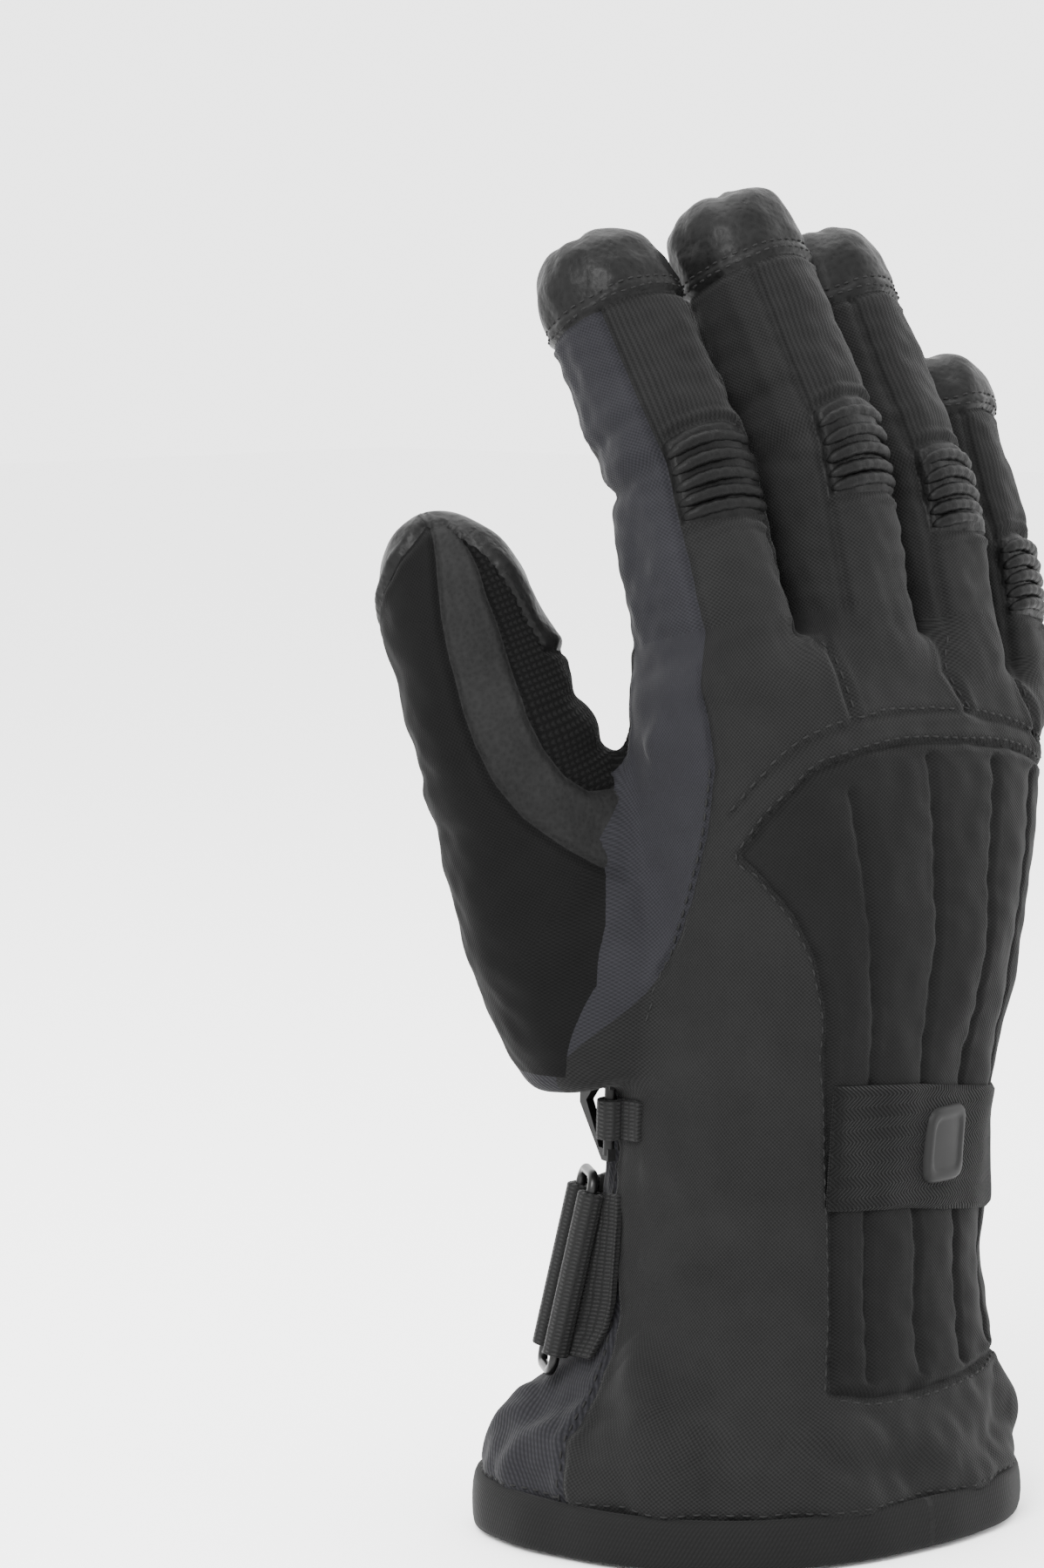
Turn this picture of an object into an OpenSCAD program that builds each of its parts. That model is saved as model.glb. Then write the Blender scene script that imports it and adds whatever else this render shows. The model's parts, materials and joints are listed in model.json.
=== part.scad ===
// Insulated ski glove for the right hand, standing on its hem with the fingers up.
// The back of the hand faces -Y, the palm +Y, the thumb -X and the little finger +X.
// Panels are thick patches of an oval body and of straight finger sleeves. Every joint is a hinge whose
// two sides are cut back along a V, so that the sleeves never meet over the whole travel.

/* [Cuff and hand] */
// Width of the cuff at the hem
cuff_w = 119; // [115:1:123]
// Depth of the cuff at the hem, from back to palm
cuff_d = 102; // [98:1:104]
// Width of the glove at the wrist
wrist_w = 89; // [87:1:92]
// Depth of the glove at the wrist
wrist_d = 66; // [64:1:68]
// Width of the hand across the knuckles
knuckle_w = 115; // [113:1:117]
// Depth of the hand at the knuckles
knuckle_d = 40; // [38:1:42]

/* [Fingers] */
// Thickness of a finger from back to palm
finger_t = 27; // [25:1:28]
// Radius of the thumb across its nail side
thumb_r = 18; // [16:1:19]
// Largest bend of each finger at its base, in degrees
base_flex = 52; // [30:1:60]
// Largest bend of each finger at its ribs, in degrees
rib_flex = 60; // [30:1:70]

/* [Strap] */
// Width of the webbing that cinches the wrist
strap_w = 38; // [30:1:40]
// Height of the webbing's lower edge above the hem
strap_z = 37; // [36:1:40]

/* [Hidden] */
shell_t = 1.6;      // thickness of an outer panel
liner_gap = 0.5;    // between a panel and the liner behind it
liner_t = 1.0;      // thickness of the quilted liner
seam = 0.2;         // between two panels of one body
joint_gap = 0.45;   // between two bodies where a joint is closed
oval_power = 2.5;   // 2 is an ellipse, and more is boxier
finger_power = 3;
hem_h = 9.5;        // height of the hem binding
wrist_z = 112;      // height of the wrist hinge
insert_z = [34, 168];    // height range of the padded insert on the back
insert_u = [-30, 66];    // its two edges, as angles round the body
back_u = [-99, 95];      // the back fabric's two side seams on the cuff
hand_u = [-80, 100];     // the same seams on the hand
palm_z = 142;       // where the palm leather starts above the gripping panel
thumb_hole_z = 161; // top of the opening that the thumb leaves the hand through
thumb_hole_u = 194; // its edge on the palm
web_u = 210;        // seam between the palm leather and the thumb-side panel
wrist_flex = 30;    // towards the palm, in degrees
wrist_extend = 25;  // towards the back, in degrees
finger_extend = 8;  // how far a finger straightens beyond its relaxed shape
hinge_y = 2.5;      // each finger hinge lies this far on the palm side of the sleeve's centre
place = [5.33, 0, 0];   // centre of the hem, which puts the whole box over the origin

// Stations of the body: height, centre x, centre y, half width, half depth.
STATIONS = [
    [0, 0, 0, cuff_w / 2, cuff_d / 2],
    [18, 0.5, -0.5, cuff_w / 2 - 2, cuff_d / 2 - 2],
    [32, 3.5, -3.5, cuff_w / 2 - 9.5, cuff_d / 2 - 10],
    [45, 6, -6, wrist_w / 2 + 1, wrist_d / 2 + 1.5],
    [60, 6.5, -7, wrist_w / 2, wrist_d / 2],
    [88, 7, -7.5, wrist_w / 2, wrist_d / 2],
    [104, 8, -9, wrist_w / 2 + 2, wrist_d / 2],
    [120, 9.5, -11, wrist_w / 2 + 4.5, wrist_d / 2],
    [150, 10.5, -13.5, knuckle_w / 2 - 4.5, wrist_d / 2 - 2],
    [165, 11, -14.5, knuckle_w / 2 - 2, wrist_d / 2 - 4],
    [185, 11.5, -15.5, knuckle_w / 2, knuckle_d / 2 + 5],
    [200, 11.5, -16.5, knuckle_w / 2 - 0.5, knuckle_d / 2]
];

// Fingers: name, half width, knuckle x, y and z, splay, tilt below and above the ribs, length from
// knuckle to ribs and from ribs to tip.
FINGERS = [
    ["index", 14, -27, -10.5, 191, -1, 14, 29, 34, 54],
    ["middle", 14.2, 3, -19.5, 195, -0.5, 12, 27, 35, 57],
    ["ring", 13.2, 31.7, -20.3, 190, 2.2, 15, 28, 30, 59.5],
    ["little", 11, 57.2, -16, 180, 4.5, 13, 21, 21, 48]
];
F_NAME = 0;
F_HALF = 1;
F_X = 2;
F_Z = 4;
F_SPLAY = 5;
F_TILT = 6;
F_TILT2 = 7;
F_LOWER = 8;
F_UPPER = 9;
cap_len = 14;       // length of a leather fingertip
rib_len = 20;       // length of a ribbed knuckle pad
rib_count = 4;

// Thumb: hinge point, direction and pad direction before squaring, lengths, rest bend and range.
thumb_base = [-43, 12, 125];
thumb_dir = [-0.27, 0.13, 0.87];
thumb_pad = [0.55, 0.83, 0];
thumb_flat = 0.87;  // depth of the thumb over its width
thumb_lower = 50;
thumb_upper = 47;
thumb_bend = 8;
thumb_flex = [12, 20];   // away from and towards the palm, at the base
thumb_tip_flex = [5, 40];
thumb_start = 9;    // the thumb's sleeve starts this far above its hinge

// Strap hardware.
webbing_t = 1.5;
strap_off = 0.5;    // between the cuff and the webbing on it
ring_u = 238;       // angle of the slider ring's middle
ring_w = 12;        // between the slider ring's two bars
ring_h = strap_w + 5;
wire_r = 1.1;
wire_play = 0.2;    // between a wire and the webbing round it
ring_off = strap_off + webbing_t + wire_r + wire_play;
strap_end_u = 98;   // where the webbing is sewn into the far seam
tail_end_u = 160;   // free end of the folded-back tail
ring_swing = 35;
tail_swing = 140;
band_z = [72, 98]; // elastic band over the back of the wrist
band_u = [-31, 93];
band_t = 1.8;
band_off = 0.5;     // between the cuff and the band
badge_u = 10;       // middle of the badge
badge_w = 12;
badge_h = 17;
badge_t = 1.4;
clip_u = 256;       // angle of the clip's bar
clip_z = [81, 99];
clip_t = 2.4;
clip_reach = 10;    // from the bar to the hook's point

function pick(table, column) = [for (row = table) [row[0], row[column]]];
function mix(a, b, t) = a + (b - a) * t;
function steps(a, b, n) = [for (i = [0 : n]) mix(a, b, i / n)];
function unit(v) = v / norm(v);
function signed_power(v, p) = sign(v) * pow(abs(v), p);

// A point of an oval, at angle u from the back of the hand towards the little finger.
function oval(a, b, u, power) = [a * signed_power(sin(u), 2 / power), -b * signed_power(cos(u), 2 / power)];

// A point of the body at angle u and height z, moved in by inset.
function body_point(u, z, inset) =
    let (p = oval(lookup(z, pick(STATIONS, 3)) - inset, lookup(z, pick(STATIONS, 4)) - inset, u, oval_power))
    place + [lookup(z, pick(STATIONS, 1)) + p.x, lookup(z, pick(STATIONS, 2)) + p.y, z];

// How far the lower side of a hinge is cut back, dy on the palm side of its axis, for bends from low to high.
function cut_back(dy, low, high) = dy * tan((dy > 0 ? high : low) / 2);

function body_y(z) = place.y + lookup(z, pick(STATIONS, 2));
function wrist_cut(u, inset) =
    cut_back(body_point(u, wrist_z, inset).y - body_y(wrist_z), -wrist_extend, wrist_flex);
function cuff_top(u, inset) = wrist_z - wrist_cut(u, inset) - joint_gap;
function hand_bottom(u, inset) = wrist_z + wrist_cut(u, inset) + joint_gap;

function knuckle(i) = place + [for (k = [F_X : F_Z]) FINGERS[i][k]];
function knuckles(axis) = [for (i = [0 : 3]) [knuckle(i).x, knuckle(i)[axis]]];
function knuckle_tilts() = [for (i = [0 : 3]) [knuckle(i).x, FINGERS[i][F_TILT]]];

// The hand's top edge follows the four knuckles.
function hand_top(u, inset) =
    let (p = body_point(u, 190, inset), tilt = lookup(p.x, knuckle_tilts()))
    lookup(p.x, knuckles(2)) - joint_gap - 0.6
        - cut_back(p.y - lookup(p.x, knuckles(1)), tilt - finger_extend, tilt + base_flex);

// A frame is [origin, lateral, palmward, along].
function finger_axes(splay, tilt) = [
    [cos(splay), 0, -sin(splay)],
    [-sin(tilt) * sin(splay), cos(tilt), -sin(tilt) * cos(splay)],
    [cos(tilt) * sin(splay), sin(tilt), cos(tilt) * cos(splay)]
];
function hinged(pivot, axes, offset) = concat([pivot - offset * axes[1]], axes);
function at(frame, x, y, z) = frame[0] + x * frame[1] + y * frame[2] + z * frame[3];
function lower_frame(i) = hinged(knuckle(i), finger_axes(FINGERS[i][F_SPLAY], FINGERS[i][F_TILT]), hinge_y);
function rib_pivot(i) = at(lower_frame(i), 0, hinge_y, FINGERS[i][F_LOWER]);
function upper_frame(i) =
    hinged(rib_pivot(i), finger_axes(FINGERS[i][F_SPLAY], FINGERS[i][F_TILT2]), hinge_y);
function rib_frame(i) =
    let (tilt = (FINGERS[i][F_TILT] + FINGERS[i][F_TILT2]) / 2)
    hinged(rib_pivot(i), finger_axes(FINGERS[i][F_SPLAY], tilt), hinge_y);

function thumb_axes(bend) =
    let (z = unit(thumb_dir), p = unit(thumb_pad - (thumb_pad * z) * z), side = cross(p, z))
    [side, cos(bend) * p - sin(bend) * z, cos(bend) * z + sin(bend) * p];
function thumb_frame() = concat([place + thumb_base], thumb_axes(0));
function thumb_pivot() = at(thumb_frame(), 0, 0, thumb_lower);
function thumb_tip_frame() = concat([thumb_pivot()], thumb_axes(thumb_bend));

// Patches: a thick patch is two grids of points, rows of equal length, joined round their edges.
function flat(grid) = [for (row = grid) each row];
function quad(a, b, c, d) = [[a, b, c], [a, c, d]];
function grid_faces(rows, cols, start, flip, wrap) = [
    for (r = [0 : rows - 2], c = [0 : cols - (wrap ? 1 : 2)])
        let (n = (c + 1) % cols, a = start + r * cols + c, b = start + r * cols + n,
             d = start + (r + 1) * cols + c, e = start + (r + 1) * cols + n)
        each flip ? quad(a, d, e, b) : quad(a, b, e, d)
];
function edge_faces(outer_edge, inner_edge) = [
    for (i = [0 : len(outer_edge) - 2])
        each quad(outer_edge[i], inner_edge[i], inner_edge[i + 1], outer_edge[i + 1])
];
function row_edge(r, cols, start, wrap) = [for (c = [0 : cols - (wrap ? 0 : 1)]) start + r * cols + c % cols];
function col_edge(c, rows, cols, start) = [for (r = [0 : rows - 1]) start + r * cols + c];
function reversed(list) = [for (i = [len(list) - 1 : -1 : 0]) list[i]];

module patch(outer, inner, wrap = false) {
    rows = len(outer);
    cols = len(outer[0]);
    n = rows * cols;
    last = rows - 1;
    sides = wrap ? [] : concat(
        edge_faces(reversed(col_edge(0, rows, cols, 0)), reversed(col_edge(0, rows, cols, n))),
        edge_faces(col_edge(cols - 1, rows, cols, 0), col_edge(cols - 1, rows, cols, n)));
    polyhedron(
        points = concat(flat(outer), flat(inner)),
        faces = [for (f = concat(
            grid_faces(rows, cols, 0, false, wrap),
            grid_faces(rows, cols, n, true, wrap),
            edge_faces(row_edge(0, cols, 0, wrap), row_edge(0, cols, n, wrap)),
            edge_faces(reversed(row_edge(last, cols, 0, wrap)), reversed(row_edge(last, cols, n, wrap))),
            sides)) reversed(f)]);
}

// A thimble: two nested stacks of rings, joined round their open end and each closed flat at the other.
module thimble(outer, inner) {
    rows = len(outer);
    cols = len(outer[0]);
    n = rows * cols;
    top = [for (c = [0 : cols - 1]) (rows - 1) * cols + c];
    polyhedron(
        points = concat(flat(outer), flat(inner)),
        faces = [for (f = concat(
            grid_faces(rows, cols, 0, false, true),
            grid_faces(rows, cols, n, true, true),
            edge_faces(row_edge(0, cols, 0, true), row_edge(0, cols, n, true)),
            [top],
            [reversed([for (c = top) n + c])])) reversed(f)]);
}

// Body panels between two angles and two heights, which are numbers or functions of angle and inset.
function height(z, u, inset) = is_num(z) ? z : z(u, inset);
function body_grid(us, low, high, rows, inset) = [
    for (t = steps(0, 1, rows)) [
        for (u = us) body_point(u, mix(height(low, u, inset), height(high, u, inset), t), inset)]
];
module body_panel(u, low, high, rows = 2, cols = 6, inset = 0, thick = shell_t) {
    us = steps(u[0], u[1], cols);
    patch(body_grid(us, low, high, rows, inset), body_grid(us, low, high, rows, inset + thick));
}
module body_tube(low, high, rows, cols, inset, thick) {
    us = [for (c = [0 : cols - 1]) c * 360 / cols];
    patch(body_grid(us, low, high, rows, inset), body_grid(us, low, high, rows, inset + thick), wrap = true);
}

// Sleeve panels in a frame. The ends are functions of the palmward coordinate.
function sleeve_grid(frame, a, b, us, low, high, inset) = [
    for (end = [low, high]) [
        for (u = us) let (p = oval(a - inset, b - inset, u, finger_power)) at(frame, p.x, p.y, end(p.y))]
];
module sleeve_panel(frame, a, b, u, low, high, cols = 4, inset = 0, thick = shell_t) {
    us = steps(u[0], u[1], cols);
    patch(sleeve_grid(frame, a, b, us, low, high, inset),
          sleeve_grid(frame, a, b, us, low, high, inset + thick));
}
module sleeve_tube(frame, a, b, low, high, inset, thick, cols = 20) {
    us = [for (c = [0 : cols - 1]) c * 360 / cols];
    patch(sleeve_grid(frame, a, b, us, low, high, inset),
          sleeve_grid(frame, a, b, us, low, high, inset + thick), wrap = true);
}

// A rounded closed end from height start to height end.
cap_profile = [[0, 1], [0.5, 0.93], [0.83, 0.72], [1, 0.4]];
function cap_rings(frame, a, b, start, end, inset, cols) = [
    for (p = cap_profile) [
        for (c = [0 : cols - 1])
            let (q = oval((a - inset) * p[1], (b - inset) * p[1], c * 360 / cols, finger_power))
            at(frame, q.x, q.y, mix(start, end - inset, p[0]))]
];
module cup(frame, a, b, start, end, inset, thick, cols = 20) {
    thimble(cap_rings(frame, a, b, start, end, inset, cols),
            cap_rings(frame, a, b, start, end, inset + thick, cols));
}
// A liner: a sleeve from low up to the cap, closed by the cap.
function liner_rings(frame, a, b, low, start, end, inset, cols) =
    concat([sleeve_grid(frame, a, b, [for (c = [0 : cols - 1]) c * 360 / cols], low, low, inset)[0]],
           cap_rings(frame, a, b, start, end, inset, cols));
module capped_liner(frame, a, b, low, start, end, cols = 20) {
    inset = shell_t + liner_gap;
    thimble(liner_rings(frame, a, b, low, start, end, inset, cols),
            liner_rings(frame, a, b, low, start, end, inset + liner_t, cols));
}

// Ends of a finger's sleeves.
function finger_half(i) = FINGERS[i][F_HALF];
function base_low(i) = FINGERS[i][F_TILT] - finger_extend;
function base_high(i) = FINGERS[i][F_TILT] + base_flex;
function rib_low(i) = FINGERS[i][F_TILT2] - FINGERS[i][F_TILT] - finger_extend;
function rib_high(i) = FINGERS[i][F_TILT2] - FINGERS[i][F_TILT] + rib_flex;
function lower_start(i) = function(y) joint_gap + cut_back(y - hinge_y, base_low(i), base_high(i));
function lower_end(i) = function(y)
    FINGERS[i][F_LOWER] - joint_gap - cut_back(y - hinge_y, rib_low(i), rib_high(i));
function upper_start(i) = function(y) joint_gap + cut_back(y - hinge_y, rib_low(i), rib_high(i));
function level(z) = function(y) z;
function cap_start(i) = FINGERS[i][F_UPPER] - cap_len;
pad_room = 1.2;     // between a ribbed pad and the back panels on each side of it
dorsal = hinge_y + finger_t / 2;
pad_swing = dorsal * sin(finger_extend);

BACK_U = [-50, 50];
PALM_U = [130, 230];
LITTLE_SIDE_U = [51, 129];
THUMB_SIDE_U = [231, 309];

module lower_back(i) {
    pad_low = rib_len / 2 * cos(rib_low(i) / 2) - dorsal * sin((rib_low(i) + finger_extend) / 2);
    color("#333335")
        sleeve_panel(lower_frame(i), finger_half(i), finger_t / 2, BACK_U, lower_start(i),
                     level(FINGERS[i][F_LOWER] - pad_low - pad_room));
}
module lower_palm(i) {
    color("#232324")
        sleeve_panel(lower_frame(i), finger_half(i), finger_t / 2, PALM_U, lower_start(i), lower_end(i));
}
module lower_sides(i) {
    color("#2c2c2e") for (u = [LITTLE_SIDE_U, THUMB_SIDE_U])
        sleeve_panel(lower_frame(i), finger_half(i), finger_t / 2, u, lower_start(i), lower_end(i), cols = 3);
}
module lower_liner(i) {
    color("#4a4a4e")
        sleeve_tube(lower_frame(i), finger_half(i), finger_t / 2, lower_start(i), lower_end(i),
                    shell_t + liner_gap, liner_t);
}

// Four padded ribs across the back of the finger, over the hinge.
rib_rise = 1.3;
function rib_z(t) = (t - 0.5) * rib_len;
module ribs(i) {
    rows = steps(0, 1, 2 * rib_count);
    function grid(inset) = [
        for (k = [0 : len(rows) - 1]) [
            for (u = steps(BACK_U[0], BACK_U[1], 4))
                let (rise = inset > 0 ? 0 : rib_rise * (k % 2),
                     p = oval(finger_half(i) - inset, finger_t / 2 + rise - inset, u, finger_power))
                at(rib_frame(i), p.x, p.y, rib_z(rows[k]))]
    ];
    color("#2a2a2b") patch(grid(0), grid(shell_t));
}

module upper_back(i) {
    pad_high = rib_len / 2 * cos(rib_low(i) / 2) - dorsal * sin((rib_low(i) + finger_extend) / 2);
    color("#333335")
        sleeve_panel(upper_frame(i), finger_half(i), finger_t / 2, BACK_U,
                     level(pad_high + pad_room + pad_swing), level(cap_start(i) - seam));
}
module upper_sides(i) {
    color("#2c2c2e") for (u = [LITTLE_SIDE_U, THUMB_SIDE_U])
        sleeve_panel(upper_frame(i), finger_half(i), finger_t / 2, u, upper_start(i),
                     level(cap_start(i) - seam), cols = 3);
}
// Palm leather of the fingertip, which wraps over the end onto the back.
module upper_leather(i) {
    color("#232324") union() {
        sleeve_panel(upper_frame(i), finger_half(i), finger_t / 2, PALM_U,
                     upper_start(i), level(cap_start(i) + 1));
        cup(upper_frame(i), finger_half(i), finger_t / 2, cap_start(i), FINGERS[i][F_UPPER], 0, shell_t);
    }
}
module upper_liner(i) {
    color("#4a4a4e")
        capped_liner(upper_frame(i), finger_half(i), finger_t / 2,
                     upper_start(i), cap_start(i), FINGERS[i][F_UPPER]);
}

// Thumb.
thumb_b = thumb_r * thumb_flat;
thumb_cap_start = thumb_upper - 20;
STRIP_U = [-155, -110];
thumb_low = thumb_bend - thumb_tip_flex[0];
thumb_high = thumb_bend + thumb_tip_flex[1];
thumb_lower_end = function(y) thumb_lower - joint_gap - cut_back(y, thumb_low, thumb_high);
thumb_upper_start = function(y) joint_gap + cut_back(y, thumb_low, thumb_high);

module thumb_lower_shell() {
    color("#1c1c1d")
        sleeve_panel(thumb_frame(), thumb_r, thumb_b, [STRIP_U[1] + 1, STRIP_U[0] + 359],
                     level(thumb_start), thumb_lower_end, cols = 12);
}
module thumb_strip() {
    color("#3a3a3b")
        sleeve_panel(thumb_frame(), thumb_r, thumb_b, STRIP_U, level(thumb_start), thumb_lower_end, cols = 2);
}
module thumb_lower_liner() {
    color("#4a4a4e")
        sleeve_tube(thumb_frame(), thumb_r, thumb_b, level(thumb_start), thumb_lower_end,
                    shell_t + liner_gap, liner_t);
}
module thumb_upper_shell() {
    color("#1c1c1d")
        sleeve_tube(thumb_tip_frame(), thumb_r, thumb_b, thumb_upper_start, level(thumb_cap_start - seam),
                    0, shell_t);
}
module thumb_cap() {
    color("#2b2b2c")
        cup(thumb_tip_frame(), thumb_r, thumb_b, thumb_cap_start, thumb_upper, 0, shell_t);
}
module thumb_upper_liner() {
    color("#4a4a4e")
        capped_liner(thumb_tip_frame(), thumb_r, thumb_b, thumb_upper_start, thumb_cap_start, thumb_upper);
}

// Hand panels.
hand_top_fn = function(u, inset) hand_top(u, inset);
hand_bottom_fn = function(u, inset) hand_bottom(u, inset);
cuff_top_fn = function(u, inset) cuff_top(u, inset);

module back_yoke() {
    color("#333335") union() {
        body_panel([hand_u[0], insert_u[0] - 1], hand_bottom_fn, insert_z[1] + seam, rows = 3, cols = 5);
        body_panel([insert_u[1] + 1, hand_u[1]], hand_bottom_fn, insert_z[1] + seam, rows = 3, cols = 3);
        body_panel([hand_u[0], insert_u[0] - 1], insert_z[1] + seam, hand_top_fn, cols = 5);
        body_panel([insert_u[0] - 1, insert_u[1] + 1], insert_z[1] + seam, hand_top_fn, cols = 8);
        body_panel([insert_u[1] + 1, hand_u[1]], insert_z[1] + seam, hand_top_fn, cols = 3);
    }
}
module insert_upper() {
    color("#262627") body_panel(insert_u, hand_bottom_fn, insert_z[1], rows = 3, cols = 8);
}
module thumb_side_panel() {
    color("#3b3b41")
        body_panel([hand_u[0] + 359, web_u + 1], thumb_hole_z, hand_top_fn, rows = 2, cols = 8);
}
module palm_leather() {
    color("#232324") union() {
        body_panel([hand_u[1] + 1, thumb_hole_u], palm_z, thumb_hole_z, rows = 1, cols = 8);
        body_panel([hand_u[1] + 1, thumb_hole_u], thumb_hole_z, hand_top_fn, rows = 2, cols = 8);
        body_panel([thumb_hole_u, web_u], thumb_hole_z, hand_top_fn, rows = 2, cols = 1);
    }
}
module palm_grip() {
    color("#1f1f20")
        body_panel([hand_u[1] + 1, thumb_hole_u], hand_bottom_fn, palm_z - seam, rows = 2, cols = 8);
}
module hand_liner() {
    inset = shell_t + liner_gap;
    edge = [hand_u[0] + 2, thumb_hole_u - 2];
    color("#4a4a4e") union() {
        body_panel(edge, hand_bottom_fn, thumb_hole_z, rows = 3, cols = 20, inset = inset, thick = liner_t);
        body_panel(edge, thumb_hole_z, hand_top_fn, rows = 2, cols = 20, inset = inset, thick = liner_t);
        body_panel([edge[1], edge[0] + 360], thumb_hole_z, hand_top_fn, rows = 2, cols = 8,
                   inset = inset, thick = liner_t);
    }
}

// Cuff panels.
function panel_cols(u) = ceil((u[1] - u[0]) / 13);
module cuff_back() {
    color("#333335") union() {
        for (u = [[back_u[0], insert_u[0] - 1], [insert_u[1] + 1, back_u[1]]]) {
            body_panel(u, hem_h + seam, insert_z[0] - seam, rows = 3, cols = panel_cols(u));
            body_panel(u, insert_z[0] - seam, cuff_top_fn, rows = 7, cols = panel_cols(u));
        }
        body_panel([insert_u[0] - 1, insert_u[1] + 1], hem_h + seam, insert_z[0] - seam, rows = 3, cols = 8);
    }
}
module insert_lower() {
    color("#262627") body_panel(insert_u, insert_z[0], cuff_top_fn, rows = 7, cols = 8);
}
module cuff_gusset() {
    u = [back_u[1] + 1, back_u[0] + 359];
    color("#2e2e33") union() {
        body_panel(u, hem_h + seam, insert_z[0] - seam, rows = 3, cols = 16);
        body_panel(u, insert_z[0] - seam, cuff_top_fn, rows = 7, cols = 16);
    }
}
hem_bulge = 0.8;    // the binding is rolled, so it stands proud of the panels
module hem_binding() {
    color("#2b2b2d") body_tube(0, hem_h, 1, 32, -hem_bulge, shell_t + 2 * hem_bulge);
}
module cuff_liner() {
    inset = shell_t + liner_gap;
    color("#4a4a4e") union() {
        body_tube(hem_h + seam, insert_z[0] - seam, 3, 36, inset, liner_t);
        body_tube(insert_z[0] - seam, cuff_top_fn, 7, 36, inset, liner_t);
    }
}

// Elastic band over the back, and the blank badge on it.
module back_band() {
    color("#1e1e1f")
        body_panel(band_u, band_z[0], band_z[1], rows = 3, cols = 12,
                   inset = -band_off - band_t, thick = band_t);
}
function body_frame(u, low, high, off) =
    let (a = body_point(u, low, -off), b = body_point(u, high, -off), up = unit(b - a),
         across = body_point(u + 2, (low + high) / 2, -off) - body_point(u - 2, (low + high) / 2, -off),
         out = unit(cross(across, up)))
    [(a + b) / 2, cross(up, out), out, up];
module badge() {
    frame = body_frame(badge_u, band_z[0], band_z[1], band_off + band_t);
    low = 0.3;
    corner = 3;
    color("#3d3d3e") multmatrix([for (k = [0 : 2]) [frame[1][k], frame[3][k], frame[2][k], frame[0][k]]])
        translate([0, 0, low]) linear_extrude(badge_t) union() {
            square([badge_w - 2 * corner, badge_h], center = true);
            square([badge_w, badge_h - 2 * corner], center = true);
            for (x = [-1, 1], y = [-1, 1])
                translate([x * (badge_w / 2 - corner), y * (badge_h / 2 - corner)]) circle(corner, $fn = 32);
        }
}

// Slider ring: a rounded wire rectangle that the webbing runs through.
ring_frame = body_frame(ring_u, strap_z, strap_z + strap_w, ring_off);
function bar_frame(side) =
    concat([at(ring_frame, side * ring_w / 2, 0, 0)], [for (k = [1 : 3]) ring_frame[k]]);
module in_frame(frame) {
    multmatrix([for (k = [0 : 2]) [frame[1][k], frame[2][k], frame[3][k], frame[0][k]]]) children();
}
ring_bend = 3;
module slider_ring() {
    w = ring_w / 2;
    h = ring_h / 2;
    color("#5a5a5c") in_frame(ring_frame) union() {
        for (x = [-w, w]) translate([x, 0, 0])
            cylinder(h = 2 * (h - ring_bend), r = wire_r, center = true, $fn = 24);
        for (z = [-h, h]) translate([0, 0, z]) rotate([0, 90, 0])
            cylinder(h = 2 * (w - ring_bend), r = wire_r, center = true, $fn = 24);
        for (x = [-1, 1], z = [-1, 1])
            translate([x * (w - ring_bend), 0, z * (h - ring_bend)])
                rotate([90, z > 0 ? (x > 0 ? 0 : -90) : (x > 0 ? 90 : 180), 0])
                    rotate_extrude(angle = 90, $fn = 48) translate([ring_bend, 0]) circle(wire_r, $fn = 24);
    }
}

// Webbing that turns round a bar.
module bar_loop(frame, height, bar_r) {
    in_frame(frame) translate([0, 0, -height / 2]) difference() {
        cylinder(h = height, r = bar_r + wire_play + webbing_t, $fn = 40);
        translate([0, 0, -1]) cylinder(h = height + 2, r = bar_r + wire_play, $fn = 40);
    }
}
function strap_grid(us, offs, low, high) = [
    for (z = [low, high]) [for (i = [0 : len(us) - 1]) body_point(us[i], z, -offs[i])]
];
module strap_panel(us, offs, low, high, thick = webbing_t) {
    patch(strap_grid(us, [for (o = offs) o + thick], low, high), strap_grid(us, offs, low, high));
}
strap_top = strap_z + strap_w;

// The two webbing tabs that are sewn into the thumb-side seam, one for the slider ring and one for the clip.
anchor_seam_u = 260;
anchor_end_u = ring_u + 9;
clip_frame = body_frame(clip_u, clip_z[0], clip_z[1], strap_off + webbing_t + clip_t / 2 + wire_play);
clip_tab_h = 9;
module webbing_tabs() {
    mid = (clip_z[0] + clip_z[1]) / 2;
    color("#2f2f30") union() {
        bar_loop(bar_frame(1), strap_w - 2, wire_r);
        strap_panel(steps(anchor_end_u, anchor_seam_u, 3), [for (k = [0 : 3]) strap_off],
                    strap_z + 1, strap_top - 1);
    }
    color("#2f2f30") union() {
        bar_loop(clip_frame, clip_tab_h, clip_t / 2);
        strap_panel(steps(clip_u, clip_u + 9, 2), [for (k = [0 : 2]) strap_off],
                    mid - clip_tab_h / 2, mid + clip_tab_h / 2);
    }
}

// Webbing across the palm side, up to the ring.
under_end_u = ring_u - 15;
module strap_under() {
    us = steps(strap_end_u, under_end_u, 14);
    color("#2f2f30") strap_panel(us, [for (u = us) strap_off], strap_z, strap_top);
}
// Its tail, which turns round the ring and lies back on the webbing.
tail_low = strap_off + webbing_t + 0.9;
tail_high = ring_off + wire_r + wire_play + 0.8;
module strap_tail() {
    us = [ring_u - 9, ring_u - 15, ring_u - 24, each steps(ring_u - 34, tail_end_u, 8)];
    offs = [tail_high, tail_high - 0.4, tail_low + 0.6, each [for (k = [0 : 8]) tail_low]];
    color("#343435") union() {
        bar_loop(bar_frame(-1), strap_w - 2, wire_r);
        strap_panel(reversed(us), reversed(offs), strap_z + 1, strap_top - 1);
    }
}

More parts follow.
